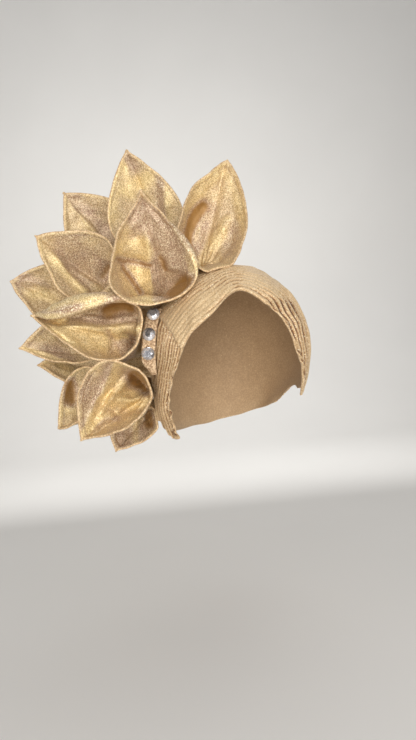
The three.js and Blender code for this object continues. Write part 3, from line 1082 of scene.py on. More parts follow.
@dataclass
class PleatedCap:
    """The hooded cap: pleats that run from tail to tail, side by side from the face edge back.

    face_edge holds turns and rises in degrees, from the wearer's right tail to the left one.
    flat_panel and smooth_crown outline, in pixels, where the pleats are pressed nearly flat. cut is
    the flat cloth's size in metres.
    """

    form: HeadForm
    view: PhotoView
    wall: float = 3
    hub_drop: float = 66
    hub_tilt: float = 10
    nape_rise: float = 188
    nape_right: float = 40
    nape_left: float = 140
    side_reach: float = 30
    tail_tuck: float = 10
    tail_tuck_from: float = 0.75
    along_steps: int = 200
    pleat_steps: int = 8
    lining_rows: int = 14
    groove: float = 0.85
    ripple: float = 1.0
    ripples: float = 18
    ripple_end: Pair = (0.25, 0.4)
    wander: float = 0.5
    wander_waves: Pair = (23, 31)
    edge_band: float = 0.1
    runs: tuple[Pleats, ...] = (Pleats(12, 1, 2.6), Pleats(8, 1, 2.2), Pleats(28, 1.5, 1.6))
    depth_along: tuple[Pair, ...] = ((0, 1), (0.35, 1), (0.5, 0.7), (0.7, 0.6), (0.85, 1), (1, 1))
    face_edge: tuple[Pair, ...] = (
        (41, 0), (40, 17), (43, 34), (54, 42), (67, 46), (75, 49), (87, 51),
        (99, 57), (108, 51), (116, 45), (124, 35), (135, 26), (148, 8),
    )
    flat_panel: tuple[Pixel, ...] = (
        (160, 318), (176, 305), (192, 296), (212, 287), (232, 284), (236, 289),
        (222, 297), (208, 312), (196, 325), (184, 342), (180, 347), (172, 333),
    )
    smooth_crown: tuple[Pixel, ...] = (
        (242, 260), (262, 264), (284, 284), (278, 298), (262, 286), (244, 289),
    )
    flat_share: float = 0.22
    panel_edge: float = 2.5
    crown_edge: float = 6
    groove_shade: float = 3.8
    lining_tone: float = -0.4
    rim_tone: float = 0.3
    rim_turns: tuple[float, ...] = (36, 72, 108, 144)
    crumples: tuple[Pair, ...] = ((34, 0.5), (13, 0.25))
    crumple_seed: int = 3
    front_range: Pair = (0.0, 0.15)
    cut: Pair = (0.34, 0.28)
    area: float = field(init=False)

    def surface(self, across: Array, along: Array, inset: Array | float) -> Array:
        """Points of the cap's wall.

        Args:
            across: Places from the face edge (0) to the nape (1), one a row.
            along: Places from the wearer's right tail (0) to the left one (1), one a column.
            inset: Depth below the outer form.

        Returns:
            A grid of points.
        """
        rows, columns = np.meshgrid(across, along, indexing="ij")
        edge = spline(np.array(self.face_edge, dtype=float), columns)
        nape = self.nape_right + (self.nape_left - self.nape_right) * columns
        wave = self.ripple * np.sin(2 * math.pi * self.ripples * columns)
        wave = wave * (1 - ease(columns, *self.ripple_end))
        sideways = self.side_reach * np.sqrt(np.sin(np.pi * rows).clip(0)) * (1 - 2 * columns)
        wave_along, wave_across = self.wander_waves
        drift = self.wander * np.sin(columns * wave_along + rows * wave_across) * np.sin(np.pi * columns)
        wave = wave * (1 - ease(rows, 0, self.edge_band))
        drift = drift * rows.clip(0, self.edge_band) / self.edge_band
        turn = np.radians(edge[..., 0] + (nape - edge[..., 0]) * rows - sideways + wave)
        rise = np.radians(edge[..., 1] + (self.nape_rise - edge[..., 1]) * rows + drift)
        toward = np.stack([-np.cos(turn), -np.sin(turn) * np.cos(rise), np.sin(turn) * np.sin(rise)], axis=-1)
        tilt = math.radians(self.hub_tilt)
        toward = np.stack([
            toward[..., 0] * math.cos(tilt) - toward[..., 2] * math.sin(tilt),
            toward[..., 1],
            toward[..., 2] * math.cos(tilt) + toward[..., 0] * math.sin(tilt),
        ], axis=-1)
        points = self.form.hit(np.array([0.0, 0.0, -self.hub_drop]), toward)
        tuck = self.tail_tuck * ease(columns, self.tail_tuck_from, 1)
        tuck = tuck * ease(-points[..., 2], 0, self.hub_drop)
        return points - self.form.normal(points) * (tuck + inset)[..., None]

    def stations(self) -> tuple[Array, Array]:
        """Where the pleats lie.

        Returns:
            Places from the face edge to the nape, and the depth of the groove at each.
        """
        total = sum(run.count * run.share for run in self.runs)
        places, depths = [], []
        start = 0.0
        for run in self.runs:
            for _ in range(run.count):
                share = np.arange(self.pleat_steps) / self.pleat_steps
                places.append((start + share * run.share) / total)
                depths.append(run.depth * (1 - np.abs(np.cos(np.pi * share)) ** self.groove))
                start += run.share
        return np.append(np.concatenate(places), 1.0), np.append(np.concatenate(depths), 0.0)

    def relief(self, plain: Array, along: Array, depths: Array) -> tuple[Array, Array]:
        """Depth below the form, and tone, for each point of the outside.

        Args:
            plain: The outside with no pleats.
            along: Places from tail to tail.
            depths: Depth of the groove at each place across.

        Returns:
            Two grids: the inset and the tone.
        """
        pixels = self.view.pixels(plain)
        facing = (self.form.normal(plain) * self.view.toward_eye(plain)).sum(-1)
        front = ease(facing, *self.front_range)
        share = np.interp(along, *np.array(self.depth_along).T)[None, :] * np.ones_like(front)
        panel = inside(pixels, self.flat_panel, self.panel_edge) * front
        crown = inside(pixels, self.smooth_crown, self.crown_edge) * front
        share *= 1 - (1 - self.flat_share) * np.maximum(panel, crown)
        groove = depths[:, None] * share
        # How far down a groove each point lies; the tone returned below paints shade in proportion, darker in
        # deeper grooves.
        dark = groove / depths.max()
        for block in RIBS:
            within, rib = block.shape(pixels)
            within *= ease(facing, *block.facing) * (1 - panel)
            groove += (block.depth * rib - groove) * within
            dark += (rib - dark) * within
        lift, tone = folded("cap", plain, self.view, front)
        swell = crumple(plain, self.crumple_seed, self.crumples)
        return groove - lift - swell, tone + GOLD_TONE - self.groove_shade * dark

    def build(self) -> bpy.types.Object:
        """Builds the cap as one closed wall.

        Returns:
            The cap.
        """
        across, depths = self.stations()
        along = np.linspace(0, 1, self.along_steps + 1)
        plain = self.surface(across, along, np.zeros((len(across), len(along))))
        inset, tone = self.relief(plain, along, depths)
        outside = self.surface(across, along, inset)
        lining_across = np.linspace(0, 1, self.lining_rows)
        lining = self.surface(lining_across, along, np.full((self.lining_rows, len(along)), self.wall))
        book = MeshBook()
        outer = book.corners(outside, tone)
        inner = book.corners(lining, self.lining_tone)
        book.grid(outer, self.cloth(outside), flip=True)
        book.grid(inner, self.cloth(lining), flip=False, finish=1)
        for row, before, flip in ((0, 1, False), (-1, -2, True)):
            rim = self.round_edge(outside[row], lining[row], outside[row] - outside[before])
            index = np.vstack([outer[row], book.corners(rim, self.rim_tone), inner[row]])
            grid = np.concatenate([outside[row][None], rim, lining[row][None]])
            book.grid(index, self.cloth(grid), flip=flip)
        book.bridge(inner[:, 0], lining_across, outer[:, 0], across)
        book.bridge(outer[:, -1], across, inner[:, -1], lining_across)
        self.area = grid_area(outside) * MM * MM
        return book.write("cap_cloth", PLEAT_CLOTH.make(), LINING_CLOTH.make())

    def round_edge(self, outer: Array, inner: Array, onward: Array) -> Array:
        """Rows of points that turn the wall over at an edge.

        Args:
            outer: The edge of the outside.
            inner: The edge of the lining.
            onward: Directions out of the wall past the edge.

        Returns:
            Rows from the outside to the lining.
        """
        middle, half = (outer + inner) / 2, (outer - inner) / 2
        out = unit(onward) * np.linalg.norm(half, axis=-1, keepdims=True)
        turns = np.radians(self.rim_turns)
        return np.stack([middle + half * math.cos(turn) + out * math.sin(turn) for turn in turns])

    @staticmethod
    def cloth(grid: Array) -> Array:
        """Cloth coordinates of a grid.

        Args:
            grid: Points in rows across the pleats and columns along them.

        Returns:
            Metres along and across the cloth for each point.
        """
        step_along = np.linalg.norm(np.diff(grid, axis=1), axis=-1).mean()
        step_across = np.linalg.norm(np.diff(grid, axis=0), axis=-1).mean()
        rows, columns = np.mgrid[0:grid.shape[0], 0:grid.shape[1]]
        return np.stack([columns * step_along, rows * step_across], axis=-1) * MM

    def dress(self, cap: bpy.types.Object) -> None:
        """Tells the frame what the cap stands for.

        Args:
            cap: The built cap.
        """
        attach(cap, BODY)
        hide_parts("cap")


def inside(pixels: Array, outline: tuple[Pixel, ...], soft: float) -> Array:
    """How far pixels lie inside an outline, 0 to 1 over a soft edge.

    Args:
        pixels: Places in the photograph's frame.
        outline: Corners of the outline.
        soft: Width of the soft edge.

    Returns:
        A share for each pixel.
    """
    within = np.zeros(pixels.shape[:-1], dtype=bool)
    for (x0, y0), (x1, y1) in pairwise([*outline, outline[0]]):
        crosses = (y0 > pixels[..., 1]) != (y1 > pixels[..., 1])
        at = x0 + (pixels[..., 1] - y0) * (x1 - x0) / ((y1 - y0) or 1)
        within ^= crosses & (pixels[..., 0] < at)
    rim = Fold((*outline, outline[0]), 0, 1, 1)
    distance, _ = rim.measure(pixels)
    return ease(np.where(within, distance, -distance), -soft / 2, soft / 2)


@dataclass(frozen=True)
class Swell:
    """How far each wall of a petal bows out past a straight line, as a share of its length."""

    right: float = 0.04
    left: float = 0.04
    back: float = 0.08
    lip: float = -0.04


@dataclass(frozen=True)
class Roll:
    """A stretch of the rim that rolls forward over the mouth, between two angles from the tip.

    lean below 1 moves the widest part of the roll toward its start.
    """

    start: float
    end: float
    reach: float
    turn: float = 125
    lean: float = 1
    fullness: float = 1.5


@dataclass(frozen=True)
class PetalCut:
    """One petal: its seat on the cap, its mouth from the pointed tip to the round lip, and its folds.

    right and left are the mouth's half widths seen from the front with the tip upward. creases
    holds the angle from the tip, the half width in degrees and the depth of each pressed fold.
    """

    name: str
    turn: float
    rise: float
    tip: Point
    lip: Point
    right: float
    left: float
    belly: float = 0
    swell: Swell = Swell()
    point: float = 1
    creases: tuple[Point, ...] = ()
    rolls: tuple[Roll, ...] = ()
    fine: bool = False


PETALS = (
    PetalCut("top_right", -6, 74, (9, -12, 182), (-22, -46, 72), 29, 34, swell=Swell(0.12, 0.12, 0.12, -0.06),
             point=0.8, creases=((25, 35, 6),), fine=True),
    PetalCut("top_centre", 32, 50, (-87, 22, 207), (-71, 26, 108), 42, 34, 14, creases=((30, 30, 5),)),
    PetalCut("front", 3, 36, (-76, -40, 148), (-70, -66, 44), 40, 36, swell=Swell(0.02, 0.14, 0.12, -0.1),
             point=1.2, creases=((350, 40, 7), (200, 35, 6)), rolls=(Roll(55, 135, 5),), fine=True),
    PetalCut("upper_left", 46, 30, (-155, 44, 174), (-97, 46, 110), 36, 40, 12, creases=((340, 30, 5),)),
    PetalCut("middle_left", 26, 20, (-179, 4, 122), (-110, 2, 76), 32, 35, 10, creases=((335, 35, 7),)),
    PetalCut("far_left", 46, 10, (-215, 44, 86), (-136, 44, 60), 34, 34, 12,
             point=0.9, creases=((345, 30, 4),)),
    PetalCut("side", 4, 8, (-181, -34, 43), (-84, -58, 23), 29, 31, swell=Swell(0.18, 0.08, 0.12, -0.12),
             point=1.1, creases=((12, 35, 6),), rolls=(Roll(18, 150, 16, lean=0.88),), fine=True),
    PetalCut("lower_far", 26, -2, (-204, 12, 16), (-123, 16, 19), 32, 20, 8, creases=((340, 30, 5),)),
    PetalCut("lower_back", 48, -10, (-194, 42, -2), (-123, 44, -2), 20, 25, 15),
    PetalCut("lower", 4, -20, (-146, -34, -72), (-86, -56, -18), 38, 22.5, swell=Swell(0, 0.1, 0.12, -0.08),
             point=0.9, creases=((15, 30, 6), (300, 30, 4)), fine=True),
    PetalCut("bottom_back", 32, -22, (-175, 24, -66), (-123, 24, -18), 28, 20, 10, creases=((10, 30, 4),)),
    PetalCut("bottom", 16, -33, (-119, 10, -92), (-92, 6, -44), 21, 28, 10,
             swell=Swell(0.04, 0.02, 0.06, -0.1), creases=((340, 35, 4),)),
)


@dataclass
class Petal:
    """A stiffened cup of cloth with one pointed tip, sewn to the cap at its gathered base.

    hem_width is how far the turned-in edge reaches from the rim, and free_edge how far from it the
    folds have their full height. The steps are columns round the mouth and rows from base to rim.
    """

    cut: PetalCut
    form: HeadForm
    view: PhotoView
    seed: int
    wall: float = 1.2
    clearance: float = 1.2
    seat_radius: float = 6
    nib: float = 1.2
    nib_angle: float = 16
    hem_width: float = 5
    free_edge: float = 18
    hem_relief: float = 0.5
    gathers: int = 11
    gather_height: float = 1.0
    gather_start: float = 6
    gather_reach: float = 20
    foot_length: float = 4
    rim_grip: float = 1
    wall_steps: int = 64
    roll_steps: int = 24
    fine_steps: tuple[int, int] = (212, 72)
    plain_steps: tuple[int, int] = (160, 52)
    row_crowding: float = 0.3
    seam_width: float = 0.8
    seam_shade: float = 0.7
    rim_width: float = 1.5
    rim_tone: float = 0.3
    cloth_tone: float = -0.1
    foot_tone: float = -0.3
    sight_start: float = 2.0
    seen_range: Pair = (-0.1, 0.05)
    crumples: tuple[Pair, ...] = ((42, 0.9), (19, 0.45), (9, 0.18))
    area: float = field(init=False)
    flat: Pair = field(init=False)

    def axes(self) -> dict[str, Array]:
        """What the petal is drawn from.

        Returns:
            Its named directions and points.
        """
        turn, rise = math.radians(self.cut.turn), math.radians(self.cut.rise)
        toward = np.array([-math.cos(rise) * math.cos(turn), math.cos(rise) * math.sin(turn), math.sin(rise)])
        on_form = self.form.hit(np.zeros(3), toward)
        normal = self.form.normal(on_form)
        seat = on_form + normal * self.wall / 2
        tip, lip = np.array(self.cut.tip, dtype=float), np.array(self.cut.lip, dtype=float)
        along = unit(tip - lip)
        facing = np.array([0.0, -1.0, 0.0])
        facing = unit(facing - along * (facing @ along))
        side = np.cross(along, facing)
        untwisted = (tip - lip) / 2 + np.cross(normal, side) * (self.cut.right + self.cut.left) / 2
        seat_along = unit(untwisted - normal * (untwisted @ normal))
        return {
            "seat": seat, "normal": normal, "tip": tip, "lip": lip, "along": along, "facing": facing,
            "side": side, "seat_along": seat_along,
            "seat_side": np.cross(seat_along, normal), "middle": ((tip + lip) / 2 + seat) / 2,
        }

    def mouth_share(self, place: Array) -> Array:
        """Half width of the mouth, as a share of its widest.

        Args:
            place: Places between the tip (0) and the lip (1).

        Returns:
            A share for each place.
        """
        point = self.cut.point
        widest = 2 * point / (2 * point + 1)
        return place ** point * np.sqrt(1 - place) / (widest ** point * math.sqrt(1 - widest))

    def crease_push(self, angles: Array) -> Array:
        """How far the pressed folds push the wall in.

        Args:
            angles: Places round the mouth, in degrees from the tip by the right side.

        Returns:
            A depth for each angle.
        """
        push = np.zeros_like(angles)
        for at, spread, depth in self.cut.creases:
            away = np.abs((angles - at + 180) % 360 - 180)
            push += depth * np.clip(1 - away / spread, 0, 1)
        return push

    def walls(self, angles: Array) -> Array:
        """Lines of the petal's wall from base to rim, one a column, closely stepped.

        Args:
            angles: Places round the mouth, in degrees from the tip by the right side.

        Returns:
            A grid of points, rows from the base up.
        """
        axes = self.axes()
        cosine, sine = np.cos(np.radians(angles))[:, None], np.sin(np.radians(angles))[:, None]
        place = (1 - cosine) / 2
        width = np.where(sine >= 0, self.cut.right, -self.cut.left) * self.mouth_share(place)
        rim = axes["tip"] + (axes["lip"] - axes["tip"]) * place + axes["side"] * width
        from_tip = np.abs((angles + 180) % 360 - 180)[:, None]
        rim = rim + axes["along"] * self.nib * np.clip(1 - from_tip / self.nib_angle, 0, 1) ** 2
        foot = axes["seat"] + self.seat_radius * (cosine * axes["seat_along"] + sine * axes["seat_side"])
        control = (foot + rim) / 2
        outward = unit(control - axes["middle"])
        swell = self.cut.swell
        end = np.where(cosine >= 0, swell.back, swell.lip)
        bow = end + (np.where(sine >= 0, swell.right, swell.left) - end) * sine ** 2
        control = control + outward * 2 * bow * np.linalg.norm(rim - foot, axis=-1, keepdims=True)
        up = np.linspace(0, 1, self.wall_steps)[:, None, None]
        wall = foot * (1 - up) ** 2 + control * 2 * up * (1 - up) + rim * up ** 2
        middle = np.sin(np.pi * up)
        wall = wall - outward * self.crease_push(angles)[:, None] * middle
        wall = wall - axes["facing"] * self.cut.belly * (1 - place) * middle
        return np.concatenate([self.form.clear(wall, self.clearance), *self.rolled(angles, rim, axes)])

    def rolled(self, angles: Array, rim: Array, axes: dict[str, Array]) -> list[Array]:
        """Rows past the rim, where it rolls forward over the mouth.

        Args:
            angles: Places round the mouth.
            rim: The rim's points.
            axes: The petal's directions.

        Returns:
            One grid of rows for each roll.
        """
        grids = []
        for roll in self.cut.rolls:
            share = np.clip((angles - roll.start) / (roll.end - roll.start), 0, 1) ** roll.lean
            reach = roll.reach * np.sin(np.pi * share)[:, None] ** roll.fullness
            inward = -axes["side"] * np.where(np.sin(np.radians(angles)) >= 0, 1, -1)[:, None]
            turns = np.radians(np.linspace(0, roll.turn, self.roll_steps + 1)[1:])[:, None, None]
            radius = reach / (1 - math.cos(math.radians(roll.turn)))
            grids.append(rim + radius * ((1 - np.cos(turns)) * inward + np.sin(turns) * axes["facing"]))
        return grids

    def middle_surface(self) -> tuple[Array, Array, Array, Array]:
        """The cloth's middle surface.

        Returns:
            Points (rows from the base up, columns round), the angles of the columns, and each
            point's distance along the cloth from the base and from the rim.
        """
        columns, rows = self.fine_steps if self.cut.fine else self.plain_steps
        angles = np.arange(columns) * 360 / columns
        lines = self.walls(angles)
        run = np.vstack([np.zeros(columns), np.linalg.norm(np.diff(lines, axis=0), axis=-1).cumsum(axis=0)])
        share = np.linspace(0, 1, rows)
        share = share * (1 + self.row_crowding * (1 - share))
        grid = np.empty((rows, columns, 3))
        for column in range(columns):
            wanted = share * run[-1, column]
            for axis in range(3):
                grid[:, column, axis] = np.interp(wanted, run[:, column], lines[:, column, axis])
        from_base = share[:, None] * run[-1]
        return grid, angles, from_base, run[-1] - from_base

    def shown(self, grid: Array) -> Array:
        """How far the cloth shows in the photograph, with only this petal there.

        Args:
            grid: Points of the cloth.

        Returns:
            A share for each point.
        """
        rows, columns = grid.shape[:2]
        index = np.arange(rows * columns).reshape(rows, columns)
        ring = closed(index)
        quads = np.stack([ring[:-1, :-1], ring[:-1, 1:], ring[1:, 1:], ring[1:, :-1]], axis=-1)
        points = grid.reshape(-1, 3)
        tree = BVHTree.FromPolygons(points.tolist(), quads.reshape(-1, 4).tolist())
        toward = self.view.toward_eye(points)
        lines = zip((points + self.sight_start * toward).tolist(), toward.tolist())
        hidden = [tree.ray_cast(start, way)[0] is not None for start, way in lines]
        return soften(1 - np.array(hidden, dtype=float).reshape(rows, columns), passes=2)

    def shaped(self) -> tuple[Array, Array, Array, Array]:
        """The folded and crumpled middle surface.

        Returns:
            Points, tones, and each point's distance from the base and from the rim.
        """
        grid, angles, from_base, from_rim = self.middle_surface()
        lift, tone = folded(self.cut.name, grid, self.view, self.shown(grid))
        lift = soften(lift, passes=2) * ease(from_rim, self.rim_grip, self.free_edge)
        tone = soften(tone, passes=1)
        grid = grid + self.view.toward_eye(grid) * lift[..., None]
        outward = self.outward(grid)
        pull = np.exp(-(from_base / self.gather_reach) ** 2) * ease(from_base, 0, self.gather_start)
        wave = np.sin(np.radians(angles) * self.gathers + self.seed)
        swell = crumple(grid, self.seed, self.crumples) * ease(from_base, self.foot_length, self.gather_reach)
        grid = grid + outward * (self.gather_height * pull * wave + swell)[..., None]
        # A thin line of painted shadow along the hem's seam, inside the rolled edge.
        seam = np.exp(-((from_rim - self.hem_width) / self.seam_width) ** 2)
        tone = tone + self.plain_tone(from_rim) - self.seam_shade * seam
        return self.form.clear(grid, self.clearance), tone, from_base, from_rim

    def plain_tone(self, from_rim: Array) -> Array:
        """The tone of unfolded cloth, which is brighter at the rim, for distances from the rim."""
        return self.cloth_tone + self.rim_tone * (1 - ease(from_rim, self.rim_width, self.hem_width))

    @staticmethod
    def outward(grid: Array) -> Array:
        """Directions out of the cup.

        Args:
            grid: Points of its middle surface.

        Returns:
            A direction for each point.
        """
        across = np.roll(grid, -1, axis=1) - np.roll(grid, 1, axis=1)
        upward = np.gradient(grid, axis=0)
        return unit(np.cross(upward, across))

    def build(self, material: bpy.types.Material) -> tuple[bpy.types.Object, Array]:
        """Builds the petal as one closed wall.

        Args:
            material: The cloth's finish.

        Returns:
            The petal, and the points of its rim.
        """
        grid, tone, from_base, from_rim = self.shaped()
        axes = self.axes()
        outward = self.outward(grid)
        doubled = 1 - ease(from_rim, self.hem_width - self.seam_width, self.hem_width)
        half = (self.wall / 2 + self.hem_relief * doubled)[..., None]
        columns = grid.shape[1]
        girth = np.linalg.norm(grid[-1] - np.roll(grid[-1], 1, axis=0), axis=-1).sum()
        upward = closed(from_base)
        around = np.broadcast_to(np.arange(columns + 1) / columns * girth, upward.shape)
        cloth = np.stack([around, upward], axis=-1) * MM
        book = MeshBook()
        rings = []
        facing = (outward * self.view.toward_eye(grid)).sum(-1)
        plain = self.plain_tone(from_rim)
        for side in (1, -1):
            seen = ease(side * facing, *self.seen_range)
            index = book.corners(grid + side * half * outward, plain + (tone - plain) * seen)
            rings.append(closed(index))
            book.grid(rings[-1], cloth, flip=side < 0)
        book.grid(np.vstack([rings[0][-1], rings[1][-1]]), cloth[-2:], flip=False)
        for ring, side in zip(rings, (-1, 1)):
            middle = axes["seat"] + side * axes["normal"] * self.wall / 2
            book.fan(middle, self.foot_tone, ring[0, :-1], flip=side < 0)
        self.area = grid_area(closed(grid)) * MM * MM
        self.flat = (round(girth * MM, 3), round(float(from_base[-1].mean()) * MM, 3))
        return book.write(f"petal_{self.cut.name}_cloth", material), grid[-1]

    def dress(self, petal: bpy.types.Object, hem: bpy.types.Object) -> None:
        """Tells the frame what the petal stands for.

        Args:
            petal: The built petal.
            hem: Its hem.
        """
        for piece in (petal, hem):
            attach(piece, BODY)
        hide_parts(f"petal_{self.cut.name}")


class Tree:
    """Wires one Geometry Nodes tree."""

    def __init__(self, name: str) -> None:
        """Starts a tree that takes and gives geometry.

        Args:
            name: The tree's name.
        """
        self.group = bpy.data.node_groups.new(name, "GeometryNodeTree")
        self.group.interface.new_socket("Geometry", in_out="OUTPUT", socket_type="NodeSocketGeometry")
        self.group.interface.new_socket("Geometry", in_out="INPUT", socket_type="NodeSocketGeometry")
        self.start = self.group.nodes.new("NodeGroupInput")
        self.end = self.group.nodes.new("NodeGroupOutput")
        self.names: dict[str, str] = {}

    def take(self, name: str, kind: str) -> None:
        """Adds a named input of one of Blender's socket types."""
        socket = self.group.interface.new_socket(name, in_out="INPUT", socket_type=kind)
        self.names[name] = socket.identifier

    def node(
        self, kind: str, inputs: dict[object, object] | None = None, **settings: object,
    ) -> bpy.types.Node:
        """Adds a node.

        Args:
            kind: Blender's name of the node.
            inputs: A link or a value for each of its inputs, by name or number.
            settings: Its own settings.

        Returns:
            The node.
        """
        made = self.group.nodes.new(kind)
        for key, value in settings.items():
            setattr(made, key, value)
        for key, value in (inputs or {}).items():
            if isinstance(value, bpy.types.NodeSocket):
                self.group.links.new(value, made.inputs[key])
            else:
                made.inputs[key].default_value = value
        return made

    def ring(self, radius: bpy.types.NodeSocket, sides: int) -> bpy.types.NodeSocket:
        """A circle of the given radius, as a curve with so many sides."""
        inputs = {"Radius": radius, "Resolution": sides}
        return self.node("GeometryNodeCurvePrimitiveCircle", inputs).outputs[0]

    def tube(self, path: bpy.types.NodeSocket, section: bpy.types.NodeSocket) -> bpy.types.NodeSocket:
        """A tube along a path."""
        inputs = {"Curve": path, "Profile Curve": section}
        return self.node("GeometryNodeCurveToMesh", inputs).outputs[0]

    def join(self, sockets: list[bpy.types.NodeSocket]) -> bpy.types.NodeSocket:
        """Joins several geometries into one.

        Args:
            sockets: The geometries.

        Returns:
            The socket of the whole.
        """
        made = self.group.nodes.new("GeometryNodeJoinGeometry")
        for socket in sockets:
            self.group.links.new(socket, made.inputs[0])
        return made.outputs[0]

    def run(self, name: str, mesh: bpy.types.Mesh, values: dict[str, object]) -> bpy.types.Object:
        """Runs the tree on a mesh and keeps the result as a plain mesh.

        Args:
            name: The new piece's name.
            mesh: The geometry that goes in.
            values: A value for each named input.

        Returns:
            The new piece.
        """
        source = add_to_scene(name + "_path", mesh)
        modifier = source.modifiers.new("tree", "NODES")
        modifier.node_group = self.group
        for key, value in values.items():
            modifier[self.names[key]] = value
        depsgraph = bpy.context.evaluated_depsgraph_get()
        plain = bpy.data.meshes.new_from_object(source.evaluated_get(depsgraph))
        bpy.data.objects.remove(source)
        plain.name = name
        return add_to_scene(name, plain)


@dataclass
class RolledHem:
    """The rolled hem along a petal's rim: a bead of cloth, wrapped by slanted stitches."""

    bead: float = 0.95
    bead_sides: int = 8
    pitch: float = 1.7
    thread: float = 0.2
    thread_sides: int = 4
    nub: float = 0.9
    nub_levels: int = 2
    slant: float = 24
    tree: Tree = field(init=False)
    material: bpy.types.Material = field(init=False)

    def __post_init__(self) -> None:
        """Makes the finish and the tree once for all petals."""
        self.material = HEM_THREAD.make()
        self.tree = self.make_tree()

    def make_tree(self) -> Tree:
        """Wires the hem: bead, stitches and the pinched nub at the tip.

        Returns:
            The tree.
        """
        tree = Tree("rolled_hem")
        for name in ("Bead radius", "Stitch pitch", "Thread radius", "Nub radius"):
            tree.take(name, "NodeSocketFloat")
        tree.take("Finish", "NodeSocketMaterial")
        given = tree.start.outputs
        rim = tree.node("GeometryNodeMeshToCurve", {"Mesh": given["Geometry"]}).outputs[0]
        bead = tree.tube(rim, tree.ring(given["Bead radius"], self.bead_sides))
        thread = tree.ring(given["Thread radius"], self.thread_sides)
        stitch = tree.tube(tree.ring(given["Bead radius"], self.bead_sides), thread)
        slanted = tree.node("GeometryNodeTransform", {
            "Geometry": stitch, "Rotation": (math.radians(self.slant), 0, 0),
        })
        places = tree.node("GeometryNodeCurveToPoints", {
            "Curve": rim, "Length": given["Stitch pitch"],
        }, mode="LENGTH")
        turned = tree.node("FunctionNodeAlignRotationToVector", {
            "Vector": places.outputs["Tangent"],
        }, axis="Z")
        stitches = tree.node("GeometryNodeInstanceOnPoints", {
            "Points": places.outputs["Points"], "Instance": slanted.outputs[0], "Rotation": turned.outputs[0],
        })
        tip = tree.node("GeometryNodeSampleCurve", {"Curves": rim, "Factor": 0.0}, mode="FACTOR")
        nub = tree.node("GeometryNodeMeshIcoSphere", {
            "Radius": given["Nub radius"], "Subdivisions": self.nub_levels,
        })
        pinch = tree.node("GeometryNodeTransform", {
            "Geometry": nub.outputs[0], "Translation": tip.outputs["Position"],
        })
        whole = tree.join([bead, stitches.outputs[0], pinch.outputs[0]])
        real = tree.node("GeometryNodeRealizeInstances", {"Geometry": whole})
        smooth = tree.node("GeometryNodeSetShadeSmooth", {"Geometry": real.outputs[0]})
        finish = tree.node("GeometryNodeSetMaterial", {
            "Geometry": smooth.outputs[0], "Material": given["Finish"],
        })
        tree.group.links.new(finish.outputs[0], tree.end.inputs[0])
        return tree

    def build(self, name: str, rim: Array) -> bpy.types.Object:
        """Builds the hem of one petal.

        Args:
            name: The hem's name.
            rim: Points of the petal's rim, from its tip round.

        Returns:
            The hem.
        """
        path = bpy.data.meshes.new(name + "_path")
        count = len(rim)
        path.from_pydata((rim * MM).tolist(), [(i, (i + 1) % count) for i in range(count)], [])
        return self.tree.run(name, path, {
            "Bead radius": self.bead * MM, "Stitch pitch": self.pitch * MM, "Thread radius": self.thread * MM,
            "Nub radius": self.nub * MM, "Finish": self.material,
        })


@dataclass(frozen=True)
class StoneCut:
    """One stone: its place down the strip, and how bright its table and its facets look.

    dark_side is the angle round the stone, from its outer side downward, where the facets' painted
    reflections are darkest, and contrast is by how much.
    """

    name: str
    place: float
    table: float
    dark_side: float
    contrast: float


STONES = (
    StoneCut("stone_upper", place=0.1, table=0.35, dark_side=270, contrast=0.4),
    StoneCut("stone_middle", place=0.36, table=0.2, dark_side=250, contrast=0.6),
    StoneCut("stone_lower", place=0.64, table=0.0, dark_side=200, contrast=0.3),
)


